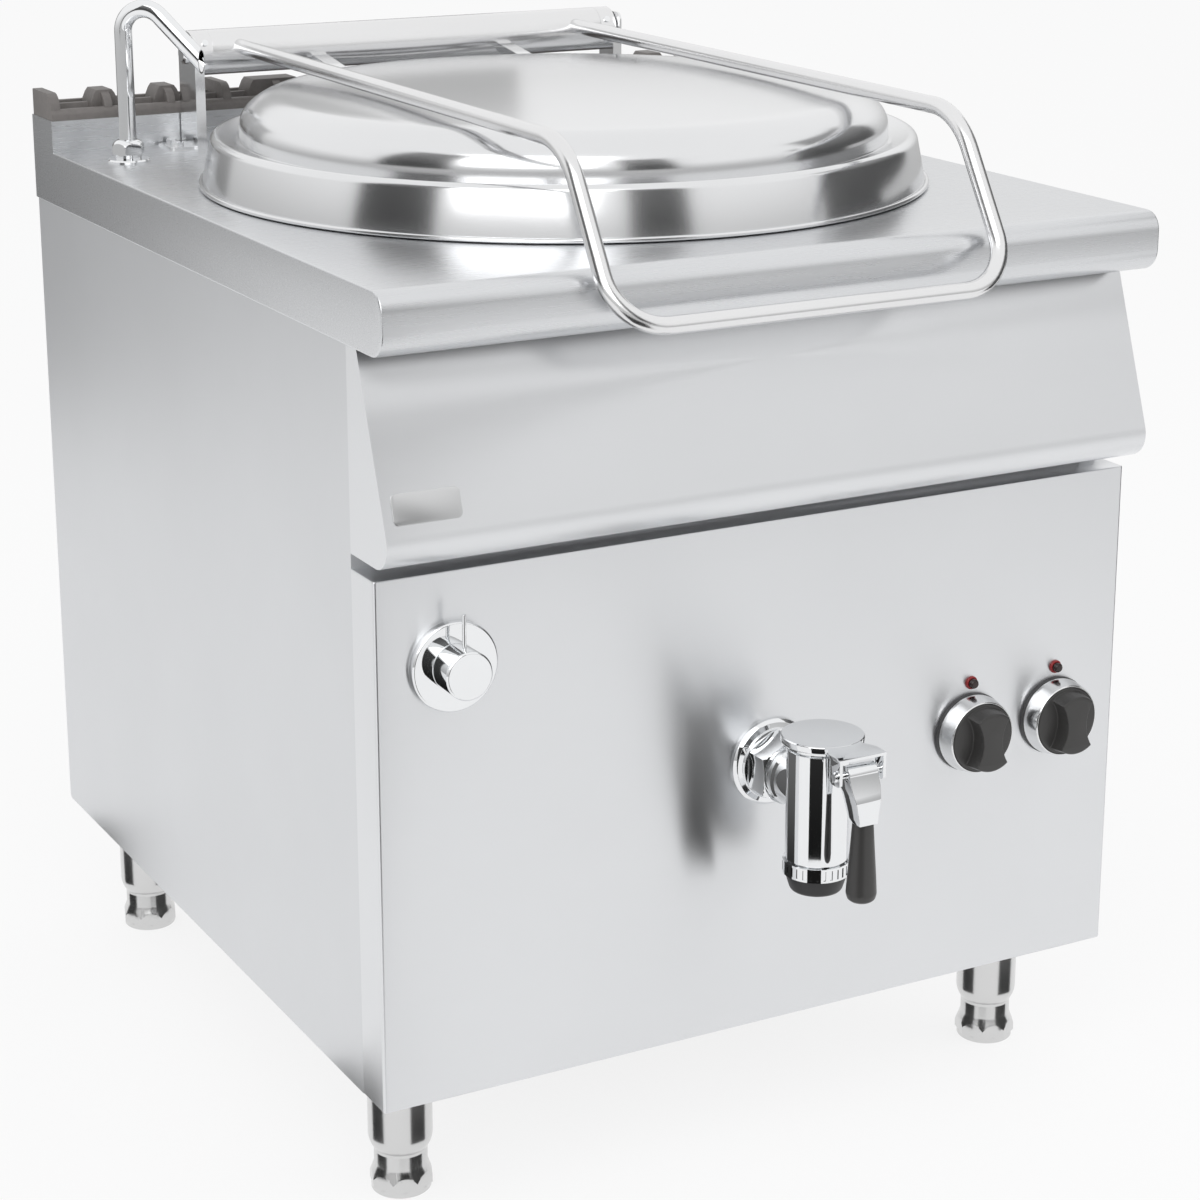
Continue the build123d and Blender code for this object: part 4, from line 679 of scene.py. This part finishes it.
def add_card(name, centre, radius, azimuths, heights, greys):
    """Curved studio card that only reflections see, with greys from its lower to its upper edge."""
    build = bmesh.new()
    steps = 48
    columns = []
    for index in range(steps + 1):
        azimuth = math.radians(azimuths[0] + (azimuths[1] - azimuths[0]) * index / steps)
        x = centre[0] + radius * math.sin(azimuth)
        y = centre[1] - radius * math.cos(azimuth)
        columns.append([build.verts.new((x, y, z)) for z in heights])
    for left, right in zip(columns, columns[1:]):
        build.faces.new((left[0], right[0], right[1], left[1]))
    mesh = bpy.data.meshes.new(name)
    build.to_mesh(mesh)
    build.free()
    material = bpy.data.materials.new(name)
    material.use_nodes = True
    tree = material.node_tree
    tree.nodes.clear()
    out = tree.nodes.new("ShaderNodeOutputMaterial")
    glow = tree.nodes.new("ShaderNodeEmission")
    split = tree.nodes.new("ShaderNodeSeparateXYZ")
    tree.links.new(object_coordinates(tree), split.inputs[0])
    blend = tree.nodes.new("ShaderNodeMapRange")
    blend.interpolation_type = "SMOOTHSTEP"
    for socket, value in zip(("From Min", "From Max", "To Min", "To Max"), (*heights, *greys)):
        blend.inputs[socket].default_value = value
    tree.links.new(split.outputs["Z"], blend.inputs["Value"])
    tree.links.new(blend.outputs["Result"], glow.inputs["Strength"])
    tree.links.new(glow.outputs["Emission"], out.inputs["Surface"])
    mesh.materials.append(material)
    card = bpy.data.objects.new(name, mesh)
    bpy.context.scene.collection.objects.link(card)
    for ray in ("camera", "diffuse", "transmission", "volume_scatter", "shadow"):
        setattr(card, "visible_" + ray, False)


def add_area(name, place, target, size, power, glossy=True):
    """Soft rectangular lamp aimed at a point."""
    light = bpy.data.lights.new(name, "AREA")
    light.shape = "RECTANGLE"
    light.size, light.size_y = size
    light.energy = power
    lamp = bpy.data.objects.new(name, light)
    bpy.context.scene.collection.objects.link(lamp)
    lamp.location = place
    lamp.rotation_euler = (Vector(target) - Vector(place)).to_track_quat("-Z", "Y").to_euler()
    lamp.visible_glossy = glossy


CAMERA_AZIMUTH = -28.5397
CAMERA_ELEVATION = 15.8629
CAMERA_ROLL = 0.025
CAMERA_PLACE = (-1.333385, -2.476353, 1.358902)
CAMERA_LENS, CAMERA_SENSOR = 86.30, 36.0
CAMERA_SHIFT = (-0.00283, -0.0787)


def make_camera():
    """Camera at the viewing angle of the reference, for a square 1200 x 1200 frame."""
    angles = (CAMERA_AZIMUTH, CAMERA_ELEVATION, CAMERA_ROLL)
    azimuth, elevation, roll = (math.radians(angle) for angle in angles)
    level = math.cos(elevation)
    back = Vector((math.sin(azimuth) * level, -math.cos(azimuth) * level, math.sin(elevation)))
    right = Vector((0, 0, 1)).cross(back).normalized()
    up = back.cross(right)
    x_axis = math.cos(roll) * right + math.sin(roll) * up
    y_axis = -math.sin(roll) * right + math.cos(roll) * up
    data = bpy.data.cameras.new("camera")
    data.lens = CAMERA_LENS
    data.sensor_width = CAMERA_SENSOR
    data.shift_x, data.shift_y = CAMERA_SHIFT
    camera = bpy.data.objects.new("camera", data)
    turn = Matrix((x_axis, y_axis, back)).transposed().to_4x4()
    camera.matrix_world = Matrix.Translation(CAMERA_PLACE) @ turn
    bpy.context.scene.collection.objects.link(camera)
    bpy.context.scene.camera = camera


LID_PLACE = (0, 0.06)
TAP_PLACE = (0, -0.43)
CARDS = (
    # name, centre, radius, azimuths, heights, greys from the lower to the upper edge
    ("wall", (0, 0), 5.0, (-180, 180), (0.0, 2.6), (0.5, 1.0)),
    ("flag_left", TAP_PLACE, 0.7, (-62, -16), (0.0, 0.7), (0.01, 0.05)),
    ("flag_right", TAP_PLACE, 1.6, (66, 96), (0.0, 1.5), (0.03, 0.12)),
    ("flag_lid_left", LID_PLACE, 1.3, (-86, -62), (0.9, 2.2), (0.05, 0.25)),
    ("flag_lid_right", LID_PLACE, 3.0, (-9, 9), (0.95, 3.2), (0.05, 0.25)),
    ("flag_lid_far", LID_PLACE, 1.5, (60, 100), (0.9, 1.9), (0.08, 0.35)),
    ("flag_tap", TAP_PLACE, 0.055, (-138, -98), (0.29, 0.44), (0.02, 0.14)),
)
LEG_CARDS = (((-125, -78), (0.03, 0.12)), ((8, 62), (0.03, 0.2)))
LEGS_WITH_CARDS = ((-LEG_X, LEG_FRONT_Y), (LEG_X, LEG_FRONT_Y), (-LEG_X, LEG_REAR_Y))

make_floor()
make_world()
for card in CARDS:
    add_card(*card)
for leg_x, leg_y in LEGS_WITH_CARDS:
    for azimuths, greys in LEG_CARDS:
        add_card("flag_leg", (leg_x * MM, leg_y * MM), 0.11, azimuths, (0.0, 0.115), greys)
add_card("flag_back", (0, 0.4), 1.9, (150, 215), (0.2, 1.6), (0.1, 0.5))
add_area("key", (-2.2, -2.6, 3.2), (0, 0, 0.6), (3.4, 3.4), 48)
add_area("fill", (3.0, -2.0, 2.2), (0, 0, 0.5), (3.0, 3.0), 26, glossy=False)
make_camera()
bpy.context.scene.view_settings.view_transform = "Standard"
